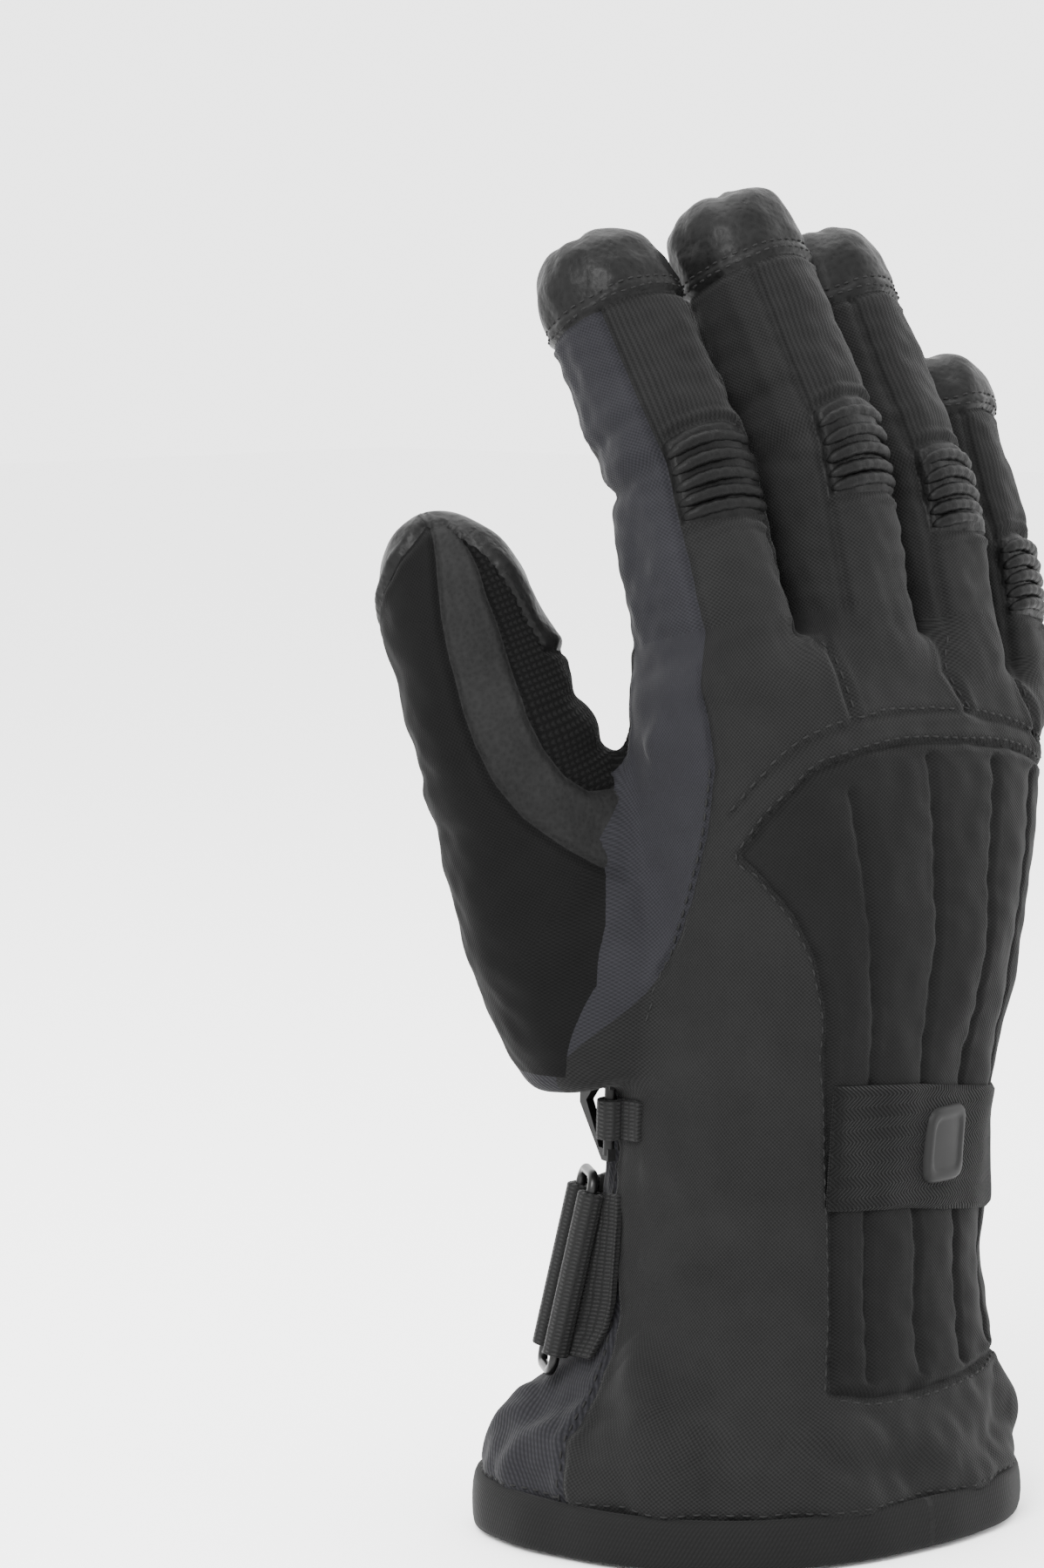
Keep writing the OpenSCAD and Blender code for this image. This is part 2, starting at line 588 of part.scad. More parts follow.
// Keeper clip: a flat hook round a vertical bar, to hang the glove or pair it with the other one.
module clip_hook() {
    h = (clip_z[1] - clip_z[0]) / 2;
    bar = clip_t / 2;
    flat_t = clip_t * 0.8;
    color("#2a2a2b") in_frame(clip_frame) union() {
        translate([0, 0, -h + bar]) cylinder(h = 2 * (h - bar), r = bar, $fn = 24);
        rotate([90, 0, 0]) translate([0, 0, -flat_t / 2]) linear_extrude(flat_t) difference() {
            polygon([[bar, h], [-clip_reach * 0.55, h], [-clip_reach, h * 0.45], [-clip_reach, h * 0.2],
                     [-bar, -h], [bar, -h]]);
            polygon([[bar + 1, h - 2.6], [-clip_reach * 0.45, h - 2.6], [-clip_reach + 2.4, h * 0.3],
                     [-bar - 2.2, -h + 5], [-bar - 1.2, -h + 2.6], [bar + 1, -h + 2.6]]);
        }
    }
}

FINGER_NODES = ["lower_back", "lower_palm", "lower_sides", "lower_liner", "ribs",
                "upper_back", "upper_sides", "upper_leather", "upper_liner"];

module finger_piece(i, n) {
    if (n == "lower_back") lower_back(i);
    if (n == "lower_palm") lower_palm(i);
    if (n == "lower_sides") lower_sides(i);
    if (n == "lower_liner") lower_liner(i);
    if (n == "ribs") ribs(i);
    if (n == "upper_back") upper_back(i);
    if (n == "upper_sides") upper_sides(i);
    if (n == "upper_leather") upper_leather(i);
    if (n == "upper_liner") upper_liner(i);
}

cuff_back();
cuff_gusset();
insert_lower();
hem_binding();
cuff_liner();
back_band();
badge();
webbing_tabs();
slider_ring();
strap_under();
strap_tail();
clip_hook();
back_yoke();
insert_upper();
thumb_side_panel();
palm_leather();
palm_grip();
hand_liner();
thumb_lower_shell();
thumb_strip();
thumb_lower_liner();
thumb_upper_shell();
thumb_cap();
thumb_upper_liner();
for (i = [0 : 3], n = FINGER_NODES)
    finger_piece(i, n);
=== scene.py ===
import json
import math
import bpy
import numpy as np
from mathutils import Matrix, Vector
from mathutils.bvhtree import BVHTree


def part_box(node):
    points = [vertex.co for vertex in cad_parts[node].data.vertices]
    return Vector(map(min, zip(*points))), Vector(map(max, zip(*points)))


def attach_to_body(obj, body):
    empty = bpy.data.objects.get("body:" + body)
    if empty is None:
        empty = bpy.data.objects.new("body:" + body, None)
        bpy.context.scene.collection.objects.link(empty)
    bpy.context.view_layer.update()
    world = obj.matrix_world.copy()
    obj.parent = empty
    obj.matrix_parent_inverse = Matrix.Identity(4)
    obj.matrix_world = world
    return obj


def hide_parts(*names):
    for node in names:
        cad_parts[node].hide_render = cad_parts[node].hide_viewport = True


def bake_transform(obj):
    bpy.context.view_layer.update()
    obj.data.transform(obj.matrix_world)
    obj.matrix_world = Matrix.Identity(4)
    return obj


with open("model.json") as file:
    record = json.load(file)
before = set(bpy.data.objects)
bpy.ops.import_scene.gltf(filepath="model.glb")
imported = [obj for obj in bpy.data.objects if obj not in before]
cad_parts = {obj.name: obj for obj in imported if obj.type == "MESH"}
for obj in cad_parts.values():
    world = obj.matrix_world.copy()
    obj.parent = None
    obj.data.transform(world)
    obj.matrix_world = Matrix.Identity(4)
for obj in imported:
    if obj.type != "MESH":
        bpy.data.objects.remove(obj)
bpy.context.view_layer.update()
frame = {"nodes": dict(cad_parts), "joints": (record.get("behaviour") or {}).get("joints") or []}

MM = 0.001

# ---------------------------------------------------------------- the frame's own numbers, in millimetres
JOINTS = {j["name"]: j for j in frame["joints"]}


def unit(v):
    v = np.asarray(v, float)
    return v / np.linalg.norm(v)


def joint_at(name):
    return np.array(JOINTS[name]["pos_m"], float) / MM


def joint_axis(name):
    return unit(JOINTS[name]["axis"])


cad_hem = np.array([list(p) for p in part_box("hem_binding")]) / MM
PLACE = np.array([(cad_hem[0][0] + cad_hem[1][0]) / 2, (cad_hem[0][1] + cad_hem[1][1]) / 2, 0.0])

# Height, centre x, centre y, half width, half depth of the glove's body, relative to the hem's centre.
STATIONS = np.array([
    [0, 0, 0, 59.0, 50.5],
    [18, 0.5, -0.5, 57.0, 48.5],
    [32, 3.5, -3.5, 50.0, 41.0],
    [45, 6, -6, 45.3, 34.3],
    [60, 6.5, -7, 44.3, 32.8],
    [88, 7, -7.5, 44.3, 32.8],
    [104, 8, -9, 46.3, 32.8],
    [120, 9.5, -11, 48.8, 32.8],
    [150, 10.5, -13.5, 52.8, 30.8],
    [165, 11, -14.5, 55.2, 28.0],
    [180, 11.5, -15.5, 56.8, 23.0],
    [195, 11.5, -16.5, 57.0, 18.0],
    [205, 11.5, -17.0, 56.5, 16.0],
])
OVAL_POWER = 2.4
FINGER_POWER = 2.6

# name, half width and half depth at the base, ribs and tip, tilt of the upper part, its length, roll
FINGERS = [
    ("index", 14.2, 17.5, 14.0, 14.2, 13.4, 12.6, 29, 54, -13),
    ("middle", 13.9, 14.5, 13.6, 13.6, 13.0, 12.4, 27, 57, 3),
    ("ring", 13.4, 14.0, 13.2, 13.4, 12.8, 12.2, 28, 59.5, 10),
    ("little", 12.0, 12.8, 11.8, 12.4, 11.4, 11.4, 21, 48, 18),
]
HINGE_Y = 2.5


def hermite(z, zs, values):
    """Smooth curve through the values at zs, flat beyond the ends."""
    z = np.clip(z, zs[0], zs[-1])
    slope = np.gradient(values, zs)
    k = np.clip(np.searchsorted(zs, z, side="right") - 1, 0, len(zs) - 2)
    w = zs[k + 1] - zs[k]
    t = (z - zs[k]) / w
    t2, t3 = t * t, t * t * t
    return ((2 * t3 - 3 * t2 + 1) * values[k] + (t3 - 2 * t2 + t) * w * slope[k]
            + (-2 * t3 + 3 * t2) * values[k + 1] + (t3 - t2) * w * slope[k + 1])


def station(z):
    """Centre x, centre y, half width and half depth at height z."""
    zs = STATIONS[:, 0]
    cx, cy, a, b = (hermite(z, zs, STATIONS[:, c]) for c in (1, 2, 3, 4))
    return cx + PLACE[0], cy + PLACE[1], a, b


def smoothstep(a, b, x):
    t = np.clip((x - a) / (b - a), 0, 1)
    return t * t * (3 - 2 * t)


def mix(a, b, t):
    return a + (b - a) * t


def smooth_min(a, b, k):
    h = np.clip(0.5 + 0.5 * (b - a) / k, 0, 1)
    return b + (a - b) * h - k * h * (1 - h)


def smooth_max(a, b, k):
    return -smooth_min(-a, -b, k)


def rolled(lateral, palm, along, degrees):
    """The same axes turned about the sleeve's own length."""
    c, s = math.cos(math.radians(degrees)), math.sin(math.radians(degrees))
    return c * lateral + s * palm, c * palm - s * lateral, along


class Digit:
    """A padded finger: a sleeve bent once, with a rounded tip. Its own coordinates are the angle round
    it (0 at the back, 90 on the little-finger side, 180 at the palm) and the length from its base."""

    def __init__(self, name, low_origin, low_axes, high_origin, high_axes, length, upper, sizes, power,
                 tip, start, bend_half=7.0, foot=0.0, box=2.9):
        self.name, self.power, self.tip, self.start, self.box = name, power, tip, start, box
        self.low_origin, self.low_axes = np.asarray(low_origin), np.array(low_axes)
        self.high_origin, self.high_axes = np.asarray(high_origin), np.array(high_axes)
        self.length, self.upper, self.bend_half, self.foot = length, upper, bend_half, foot
        self.sizes = sizes
        self.bisector = unit(self.low_axes[2] + self.high_axes[2])

    def halves(self, s):
        zs = [0, self.length, self.length + self.upper]
        a = np.interp(s, zs, self.sizes[0::2])
        b = np.interp(s, zs, self.sizes[1::2])
        if self.foot:
            shrink = np.sqrt(np.clip(1 - np.clip(-s / self.foot, 0, 1) ** 2, 0.0025, 1))
            a, b = a * shrink, b * shrink
        return a, b

    def upper_share(self, p):
        t = (p - self.high_origin) @ self.bisector
        return smoothstep(-self.bend_half, self.bend_half, t)

    def local(self, p):
        """Lateral, palmward and along, with the bend unrolled."""
        low = (p - self.low_origin) @ self.low_axes.T
        high = (p - self.high_origin) @ self.high_axes.T
        high[:, 2] += self.length
        w = self.upper_share(p)[:, None]
        return low * (1 - w) + high * w

    def coordinates(self, p):
        q = self.local(p)
        a, b = self.halves(q[:, 2])
        return np.degrees(np.arctan2(q[:, 0] / a, -q[:, 1] / b)), q[:, 2]

    def distance(self, p):
        q = self.local(p)
        a, b = self.halves(q[:, 2])
        ring = (np.abs(q[:, 0] / a) ** self.power + np.abs(q[:, 1] / b) ** self.power) ** (1 / self.power)
        over = np.maximum(q[:, 2] - (self.length + self.upper - self.tip), 0) / self.tip
        whole = (ring ** self.box + over ** self.box) ** (1 / self.box)
        side = (whole - 1) * np.minimum(a, b)
        return smooth_max(side, -q[:, 2] - self.start, 5.0)

    def world(self, angle, s, off=0.0):
        """The point of the sleeve at an angle and a length."""
        angle, s = np.atleast_1d(np.radians(angle)), np.atleast_1d(s).astype(float)
        a, b = self.halves(s)
        p = self.power
        over = np.clip((s - (self.length + self.upper - self.tip)) / self.tip, 0, 0.999)
        scale = (1 - over ** self.box) ** (1 / self.box)
        x, y = np.sin(angle), -np.cos(angle)
        r = (np.abs(x) ** p + np.abs(y) ** p) ** (-1 / p) * scale
        q = np.stack([x * r * a, y * r * b, s], 1)
        q[:, :2] += off * np.stack([x, y], 1)
        low = q @ self.low_axes + self.low_origin
        high = (q - [0, 0, self.length]) @ self.high_axes + self.high_origin
        w = smoothstep(-self.bend_half, self.bend_half, s - self.length)[:, None]
        return low * (1 - w) + high * w


def make_digit(name, joints, sizes, tilt, upper, roll, power, tip, start, hinge_y=HINGE_Y, foot=0.0, box=2.9):
    base, knuckle = joint_at(joints[0]), joint_at(joints[1])
    lateral = -joint_axis(joints[0])
    along = unit(knuckle - base)
    palm = np.cross(along, lateral)
    palm2_along = along * math.cos(tilt) + palm * math.sin(tilt)
    palm2 = np.cross(palm2_along, lateral)
    low_origin, high_origin = base - hinge_y * palm, knuckle - hinge_y * palm2
    return Digit(name, low_origin, rolled(lateral, palm, along, roll), high_origin,
                 rolled(lateral, palm2, palm2_along, roll), np.linalg.norm(knuckle - base), upper, sizes,
                 power, tip, start, foot=foot, box=box)


def finger_tilt(name, tilt2):
    along = unit(joint_at(name + "_rib_flex") - joint_at(name + "_base_flex"))
    return math.radians(tilt2) - math.asin(along[1])


DIGITS = [make_digit(name, (name + "_base_flex", name + "_rib_flex"), (a0, b0, a1, b1, a2, b2),
                     finger_tilt(name, tilt2), upper, roll, FINGER_POWER, 15.0, 12.0)
          for name, a0, b0, a1, b1, a2, b2, tilt2, upper, roll in FINGERS]
THUMB = make_digit("thumb", ("thumb_base_flex", "thumb_tip_flex"), (20.5, 18.5, 17.8, 16.0, 13.4, 12.0),
                   math.radians(8), 46.5, 0, 2.3, 19.0, 27.0, hinge_y=0.0, foot=44.0, box=2.1)
LANE_X = np.array([d.low_origin[0] for d in DIGITS])
CROTCH_X = (LANE_X[:-1] + LANE_X[1:]) / 2 + [0.5, 0.5, 1.0]
CROTCH_Z = np.array([190.5, 189.5, 180.0])


def body_distance(p):
    cx, cy, a, b = station(p[:, 2])
    ring = (np.abs((p[:, 0] - cx) / a) ** OVAL_POWER
            + np.abs((p[:, 1] - cy) / b) ** OVAL_POWER) ** (1 / OVAL_POWER)
    side = (ring - 1) * np.minimum(a, b)
    top = np.interp(p[:, 0], [LANE_X[0] - 14, *CROTCH_X, LANE_X[3] + 11], [187, *CROTCH_Z, 174])
    return smooth_max(smooth_max(side, p[:, 2] - top, 7.0), -p[:, 2], 0.5)


def body_coordinates(p):
    """Angle round the body, 0 at the back, 90 at the little-finger side, -90 at the thumb side; height."""
    cx, cy, a, b = station(p[:, 2])
    return np.degrees(np.arctan2((p[:, 0] - cx) / a, -(p[:, 1] - cy) / b)), p[:, 2]


def skin_parts(p):
    return [body_distance(p)] + [d.distance(p) for d in DIGITS] + [THUMB.distance(p)]


def skin_distance(p):
    parts = skin_parts(p)
    body = parts[0]
    best = body
    for k, part in enumerate(parts[1:]):
        best = np.minimum(best, smooth_min(body, part, 9.0 if k == 4 else 6.0))
    return best


def surface_nets(field, lo, hi, h):
    """Quads over field(points) = 0 inside the box, as (vertices, quads) facing outwards."""
    block = 4
    n = (np.ceil((hi - lo) / (h * block)).astype(int)) * block
    axes = [lo[k] + h * np.arange(n[k]) for k in range(3)]
    coarse = [axes[k].reshape(-1, block).mean(1) for k in range(3)]
    centres = np.stack(np.meshgrid(*coarse, indexing="ij"), -1)
    d_coarse = field(centres.reshape(-1, 3)).reshape(centres.shape[:3])
    near = np.abs(d_coarse) < 5.5 * h * block / 2
    d = np.repeat(np.repeat(np.repeat(np.sign(d_coarse) * 9.0, block, 0), block, 1), block, 2)
    blocks = np.argwhere(near)
    cell = np.stack(np.meshgrid(*[np.arange(block)] * 3, indexing="ij"), -1).reshape(-1, 3)
    for i in range(0, len(blocks), 6000):
        index = (blocks[i:i + 6000, None] * block + cell[None]).reshape(-1, 3)
        d[tuple(index.T)] = field(lo + h * index)
    cells = n - 1
    count = np.zeros(cells.prod())
    total = np.zeros((cells.prod(), 3))
    quads = []
    inside = d < 0
    for axis in range(3):
        u, v = (axis + 1) % 3, (axis + 2) % 3
        a = np.take(d, range(0, n[axis] - 1), axis)
        b = np.take(d, range(1, n[axis]), axis)
        ia = np.take(inside, range(0, n[axis] - 1), axis)
        ib = np.take(inside, range(1, n[axis]), axis)
        where = np.argwhere(ia != ib)
        t = a[tuple(where.T)] / (a[tuple(where.T)] - b[tuple(where.T)])
        point = where.astype(float)
        point[:, axis] += t
        ring = []
        for du, dv in ((-1, -1), (0, -1), (0, 0), (-1, 0)):
            c = where.copy()
            c[:, u] += du
            c[:, v] += dv
            index = np.ravel_multi_index(np.clip(c, 0, cells - 1).T, cells)
            for k in range(3):
                total[:, k] += np.bincount(index, point[:, k], len(total))
            count += np.bincount(index, None, len(count))
            ring.append(index)
        ring = np.stack(ring, 1)
        flip = ~ia[tuple(where.T)]
        ring[flip] = ring[flip][:, ::-1]
        quads.append(ring)
    quads = np.concatenate(quads)
    used, faces = np.unique(quads, return_inverse=True)
    verts = total[used] / count[used][:, None] * h + lo
    return verts, faces.reshape(-1, 4)


def gradient(field, p, e=0.05):
    steps = e * np.eye(3)
    return np.stack([field(p + step) - field(p - step) for step in steps], 1) / (2 * e)


def neighbour_mean(verts, quads):
    a = quads.reshape(-1)
    b = np.roll(quads, -1, 1).reshape(-1)
    count = np.bincount(a, None, len(verts)) + np.bincount(b, None, len(verts))
    mean = np.stack([np.bincount(a, verts[b, k], len(verts)) + np.bincount(b, verts[a, k], len(verts))
                     for k in range(3)], 1)
    return mean / count[:, None]


def build_skin(h):
    lo, hi = np.array([-84.0, -60.0, -3.0]), np.array([88.0, 62.0, 294.0])
    verts, quads = surface_nets(skin_distance, lo, hi, h)
    for _ in range(3):
        verts = verts + 0.6 * (neighbour_mean(verts, quads) - verts)
        g = gradient(skin_distance, verts)
        g2 = np.maximum((g * g).sum(1), 0.05)
        verts = verts - (skin_distance(verts) / g2)[:, None] * g
    return verts, quads


def vertex_normals(verts, tris):
    a, b, c = verts[tris[:, 0]], verts[tris[:, 1]], verts[tris[:, 2]]
    n = np.cross(b - a, c - a)
    out = np.zeros_like(verts)
    for k in range(3):
        for j in range(3):
            out[:, j] += np.bincount(tris[:, k], n[:, j], len(verts))
    return out / np.maximum(np.linalg.norm(out, axis=1), 1e-9)[:, None]


# ---------------------------------------------------------------- seam lines, as (angle, height) on the body
SIDE_SEAM = [(-70, 205), (-69, 195), (-67, 181), (-66, 166), (-71, 152), (-79, 137), (-92, 118),
             (-108, 101.5), (-114, 88), (-113, 62), (-108, 46), (-100, 35), (-96, 24), (-91, 16), (-87, -4)]
THUMB_SEAM = [(-124, 180), (-112, 162), (-104, 146), (-101, 133), (-100, 120), (-106, 101.5), (-110, 92)]
LITTLE_SEAM = [(97, -4), (95, 30), (95, 100), (97, 150), (100, 205)]
PALM_EDGE = [(95, 150), (120, 148), (150, 145), (180, 147), (205, 153), (235, 163)]
GRIP_FOOT = [(95, 97), (180, 95), (262, 97)]
INSERT = [(-28, 34.4), (-29, 70), (-33, 100), (-35, 113), (-39, 126), (-45, 135.3), (-55, 144.6),
          (-60, 147.5), (-51, 155.4), (-38, 164.1), (-30, 166.6), (-20, 168.4), (-9, 169.2), (8, 168.3),
          (28, 166), (50, 161), (66, 155), (68, 110), (66, 70), (64, 36), (40, 34.5), (24, 33.5),
          (2, 32.4), (-16, 32.6)]
YOKE_SEAMS = [[(-28, 194), (-26, 185), (-24, 175.5)], [(10, 191), (7, 183), (12, 175)],
              [(36, 184), (38, 175), (44, 166.5)]]
YOKE_LINE = [(-62, 156), (-52, 163), (-38, 170.5), (-22, 174.6), (-8, 175.4), (10, 174.4), (28, 171),
             (50, 166), (72, 159)]
CHANNELS = [[(-17, 36), (-19, 100), (-27, 152), (-28, 160)], [(2, 36), (0, 100), (-2, 142), (-3, 166)],
            [(21, 36), (19, 100), (19, 140), (20, 164)], [(40, 37), (40, 100), (38, 139), (40, 160)]]
HEM_TOP = 10.0
ARC = 0.74          # millimetres of girth for each degree, about the same over the whole body


def hem_rise(u):
    """The hem lifts off the ground at the thumb's corner of the palm."""
    return 1.0 * np.exp(-(((u + 122 + 180) % 360 - 180) / 42.0) ** 2)


def polyline(u, z, points, closed=False, arc=ARC):
    """Signed distance in millimetres to a line of (angle, height) points, positive on its left side."""
    points = np.array(points, float)
    if closed:
        points = np.concatenate([points, points[:1]])
    middle = points[:, 0].mean()
    x = ((u - middle + 180) % 360 - 180) * arc
    q = np.stack([(points[:, 0] - middle) * arc, points[:, 1]], 1)
    best = np.full(len(x), 1e9)
    sign = np.ones(len(x))
    share = np.zeros(len(x))
    turns = np.zeros(len(x))
    for k in range(len(q) - 1):
        e = q[k + 1] - q[k]
        t = np.clip(((x - q[k, 0]) * e[0] + (z - q[k, 1]) * e[1]) / (e @ e), 0, 1)
        dx, dz = x - q[k, 0] - t * e[0], z - q[k, 1] - t * e[1]
        d = np.hypot(dx, dz)
        near = d < best - 1e-9
        best = np.where(near, d, best)
        sign = np.where(near, np.where(e[0] * dz - e[1] * dx >= 0, 1, -1), sign)
        share = np.where(near, k + t, share)
        up = (q[k, 1] <= z) & (q[k + 1, 1] > z)
        down = (q[k, 1] > z) & (q[k + 1, 1] <= z)
        side = e[0] * (z - q[k, 1]) - (x - q[k, 0]) * e[1]
        turns += np.where(up & (side > 0), 1, 0) - np.where(down & (side < 0), 1, 0)
    if closed:
        sign = np.where(turns != 0, 1, -1)
    return best * sign, share


def wave_noise(p, scale, seed, octaves=14):
    """Smooth noise of about unit size, from plane waves in fixed directions."""
    rng = np.random.default_rng(seed)
    out = np.zeros(len(p))
    for _ in range(octaves):
        d = rng.normal(size=3)
        d *= rng.uniform(0.6, 1.5) / np.linalg.norm(d)
        out += np.sin(p @ d * (2 * math.pi / scale) + rng.uniform(0, 6.28))
    return out / math.sqrt(octaves / 2)


def groove(f, depth, width, lip=0.35):
    a = np.abs(f)
    edge = lip * depth * np.exp(-((a - 2.4 * width) / (1.1 * width)) ** 2)
    return edge - depth * np.exp(-(f / width) ** 2)


def bump(x, width):
    return np.exp(-(x / width) ** 2)


# Soft folds: two ends as (angle, height), how far they stand out, and their width.
FOLDS = [
    ((-95, 44), (-70, 30), 1.3, 4.2), ((-92, 38), (-60, 20), 1.2, 4.0), ((-75, 34), (-40, 24), 1.0, 4.5),
    ((-60, 28), (-48, 12), -1.3, 4.0), ((-35, 30), (-10, 22), 1.0, 4.0), ((-30, 22), (5, 14), -1.0, 3.6),
    ((-10, 26), (25, 17), 1.0, 4.2), ((10, 16), (45, 22), -1.1, 4.0), ((40, 30), (60, 14), 1.1, 4.2),
    ((62, 34), (88, 20), 1.2, 4.6), ((-98, 60), (-60, 62), 0.7, 3.4), ((-98, 80), (-64, 78), 0.8, 3.6),
    ((-96, 92), (-50, 96), -0.7, 3.6), ((-92, 100), (-58, 107), 0.7, 3.8), ((-88, 70), (-50, 71), -0.6, 3.4),
    ((-104, 26), (-118, 14), 1.1, 4.0), ((-128, 30), (-138, 12), 1.4, 4.6),
    ((-150, 32), (-158, 14), -1.2, 4.6),
    ((-172, 34), (-168, 14), 1.4, 5.0), ((168, 32), (160, 14), 1.3, 4.6), ((140, 32), (136, 14), -1.2, 4.6),
    ((116, 34), (112, 16), 1.2, 4.4), ((80, 50), (86, 72), 0.8, 3.6),
    ((150, 176), (205, 160), 1.3, 4.0), ((140, 166), (195, 150), -0.9, 3.4),
    ((160, 186), (215, 176), 0.8, 3.4),
    ((110, 172), (150, 158), -0.7, 3.6), ((-86, 176), (-100, 168), 0.9, 3.4),
    ((-80, 150), (-98, 146), 0.5, 3.0),
]


def fold(u, z, start, end, height, width):
    f, share = polyline(u, z, [start, end])
    taper = np.sin(np.clip(share, 0.0, 1.0) * math.pi) ** 0.7
    return height * taper * np.exp(-(f / width) ** 2)

# ---------------------------------------------------------------- seams of the digits, as (angle, length)
BACK_EDGE, PALM_START = 46.0, 130.0
RIB_BELOW, RIB_ABOVE, RIB_COUNT = 11.0, 5.0, 5
CAP_LENGTH = {"index": 17.5, "middle": 18.0, "ring": 18.0, "little": 14.0}
FINGER_ARC, THUMB_ARC = 0.24, 0.30
STRIP_LEFT = [(2, 97), (-6, 94), (-16, 85), (-23, 76.5), (-27, 67.5), (-30, 56.5), (-29, 50), (-23, 42),
              (-13, 34), (7, 25), (23, 19), (45, 12), (75, 6)]
STRIP_RIGHT = [(26, 98), (22, 86), (18, 78), (17, 70.6), (14, 61), (12, 52), (15, 46), (23, 39), (36, 34),
               (75, 30)]
THUMB_CAP = [(-180, 68), (-130, 74), (-90, 84), (-45, 91), (-10, 95), (20, 94.5), (32, 84), (43, 63),
             (70, 61), (120, 64), (180, 68)]
PALM_STRIP = (-165.0, -125.0)
FOLD_DEPTH = 1.8


SEAM_BOW_MM = 1.8
FAR_MM = 30.0


def finger_bow(ang):
    """How far the seams across a finger dip from its back's middle towards its sides."""
    return SEAM_BOW_MM * (np.minimum(np.abs(ang), BACK_EDGE) / BACK_EDGE) ** 2


def digit_fields(digit, ang, s):
    """Distances in millimetres to the seams of a finger."""
    side = np.abs(ang)
    bow = finger_bow(ang)
    low, high = digit.length - RIB_BELOW, digit.length + RIB_ABOVE
    cap = digit.length + digit.upper - CAP_LENGTH[digit.name]
    return dict(edge=(BACK_EDGE - side) * FINGER_ARC, palm=(side - PALM_START) * FINGER_ARC,
                rib_low=s + bow - low, rib_high=high - s - bow, cap=s + bow * 0.6 - cap)


def finger_relief(digit, ang, s, p):
    f = digit_fields(digit, ang, s)
    on_back = smoothstep(-0.6, 0.6, f["edge"])
    on_palm = smoothstep(-0.6, 0.6, f["palm"])
    on_side = (1 - on_back) * (1 - on_palm)
    below_cap = smoothstep(0.6, -0.6, f["cap"])
    above_base = smoothstep(-8, 2, s)
    out = (groove(f["edge"], 0.85, 0.75) + 0.8 * groove(f["palm"], 0.8, 0.8)) * below_cap * above_base
    out += groove(f["cap"], 0.75, 0.7) + 0.45 * (1 - below_cap) - 0.22 * bump(f["cap"] - 3.0, 0.55)
    # the ribbed pad
    inside = smoothstep(0, 0.9, f["rib_low"]) * smoothstep(0, 0.9, f["rib_high"])
    inside *= smoothstep(0.3, 2.0, f["edge"])
    out += inside * 0.35
    out += on_back * (groove(f["rib_low"] + 0.6, 0.7, 0.7) + groove(f["rib_high"] + 0.6, 0.7, 0.7))
    out += on_back * (-0.25 * bump(f["rib_high"] + 3.4, 0.5) - 0.25 * bump(f["rib_low"] + 3.2, 0.5))
    # padding between the seams
    middle = np.minimum(np.abs(f["edge"]), np.minimum(np.abs(f["cap"]), np.abs(s - digit.length + 3) - 6))
    out += on_back * (1 - inside) * 0.8 * (1 - np.exp(-(np.maximum(middle, 0) / 3.5) ** 2)) * above_base
    seam = np.minimum(np.abs(f["edge"]), np.abs(f["palm"]))
    out += on_side * 0.5 * (1 - np.exp(-(seam / 3.0) ** 2)) * above_base
    # creases where it bends
    length = digit.length
    out += on_palm * (-1.5 * bump(s - length - 1, 2.0) + 0.7 * bump(s - length - 6, 3.0)
                      + 0.6 * bump(s - length + 5, 3.0) - 1.0 * bump(s - 3, 2.0)
                      - 0.7 * bump(s - length - 24, 1.8))
    out += on_side * (-0.9 * bump(s - length - 0.6 * np.sin(ang / 12), 1.7)
                      + 0.5 * bump(s - length - 4.5, 2.2)
                      - 0.6 * bump(s - length + 5 + 0.03 * ang, 1.5) - 0.5 * bump(s - length - 11, 1.6)
                      + 0.45 * bump(s - length - 15, 2.4))
    out += 0.16 * np.sin(s * 1.25 + ang * 0.03) * bump(f["edge"], 2.4) * below_cap
    return out + 0.28 * wave_noise(p, 17, 5) + 0.1 * wave_noise(p, 6.5, 6)


def thumb_fields(ang, s):
    left, _ = polyline(ang, s, STRIP_LEFT, arc=THUMB_ARC)
    right, _ = polyline(ang, s, STRIP_RIGHT, arc=THUMB_ARC)
    points = np.array(THUMB_CAP, float)
    cap = (s - np.interp(ang, points[:, 0], points[:, 1])) * 0.8
    strip = np.minimum(ang - PALM_STRIP[0], PALM_STRIP[1] - ang) * THUMB_ARC
    return dict(left=left, right=right, cap=cap, palm_strip=strip)


def thumb_relief(ang, s, p):
    f = thumb_fields(ang, s)
    below_cap = smoothstep(0.6, -0.6, f["cap"])
    out = (groove(f["left"], 0.9, 0.8) + groove(f["right"], 0.9, 0.8)) * below_cap
    out += 0.8 * groove(f["palm_strip"], 0.9, 0.8) * below_cap * smoothstep(-30, -20, s)
    out += groove(f["cap"], 0.8, 0.8) + 0.6 * (1 - below_cap)
    middle = np.minimum(np.abs(f["left"]), np.abs(f["right"]))
    out += 0.6 * (1 - np.exp(-(middle / 4.0) ** 2)) * smoothstep(-20, 10, s)
    outer = bump((ang + 80) / 60, 1)
    out += outer * (-0.7 * bump(s - 50 - 0.05 * ang, 2.4) + 0.5 * bump(s - 44, 3.2) - 0.45 * bump(s - 34, 2.2)
                    + 0.4 * bump(s - 58, 3.0))
    inner = bump((ang - 80) / 60, 1)
    out += inner * (-1.0 * bump(s - 52, 2.2) + 0.6 * bump(s - 46, 3.0) - 0.8 * bump(s - 41, 2.0))
    return out + 0.3 * wave_noise(p, 20, 7) + 0.1 * wave_noise(p, 7, 8)


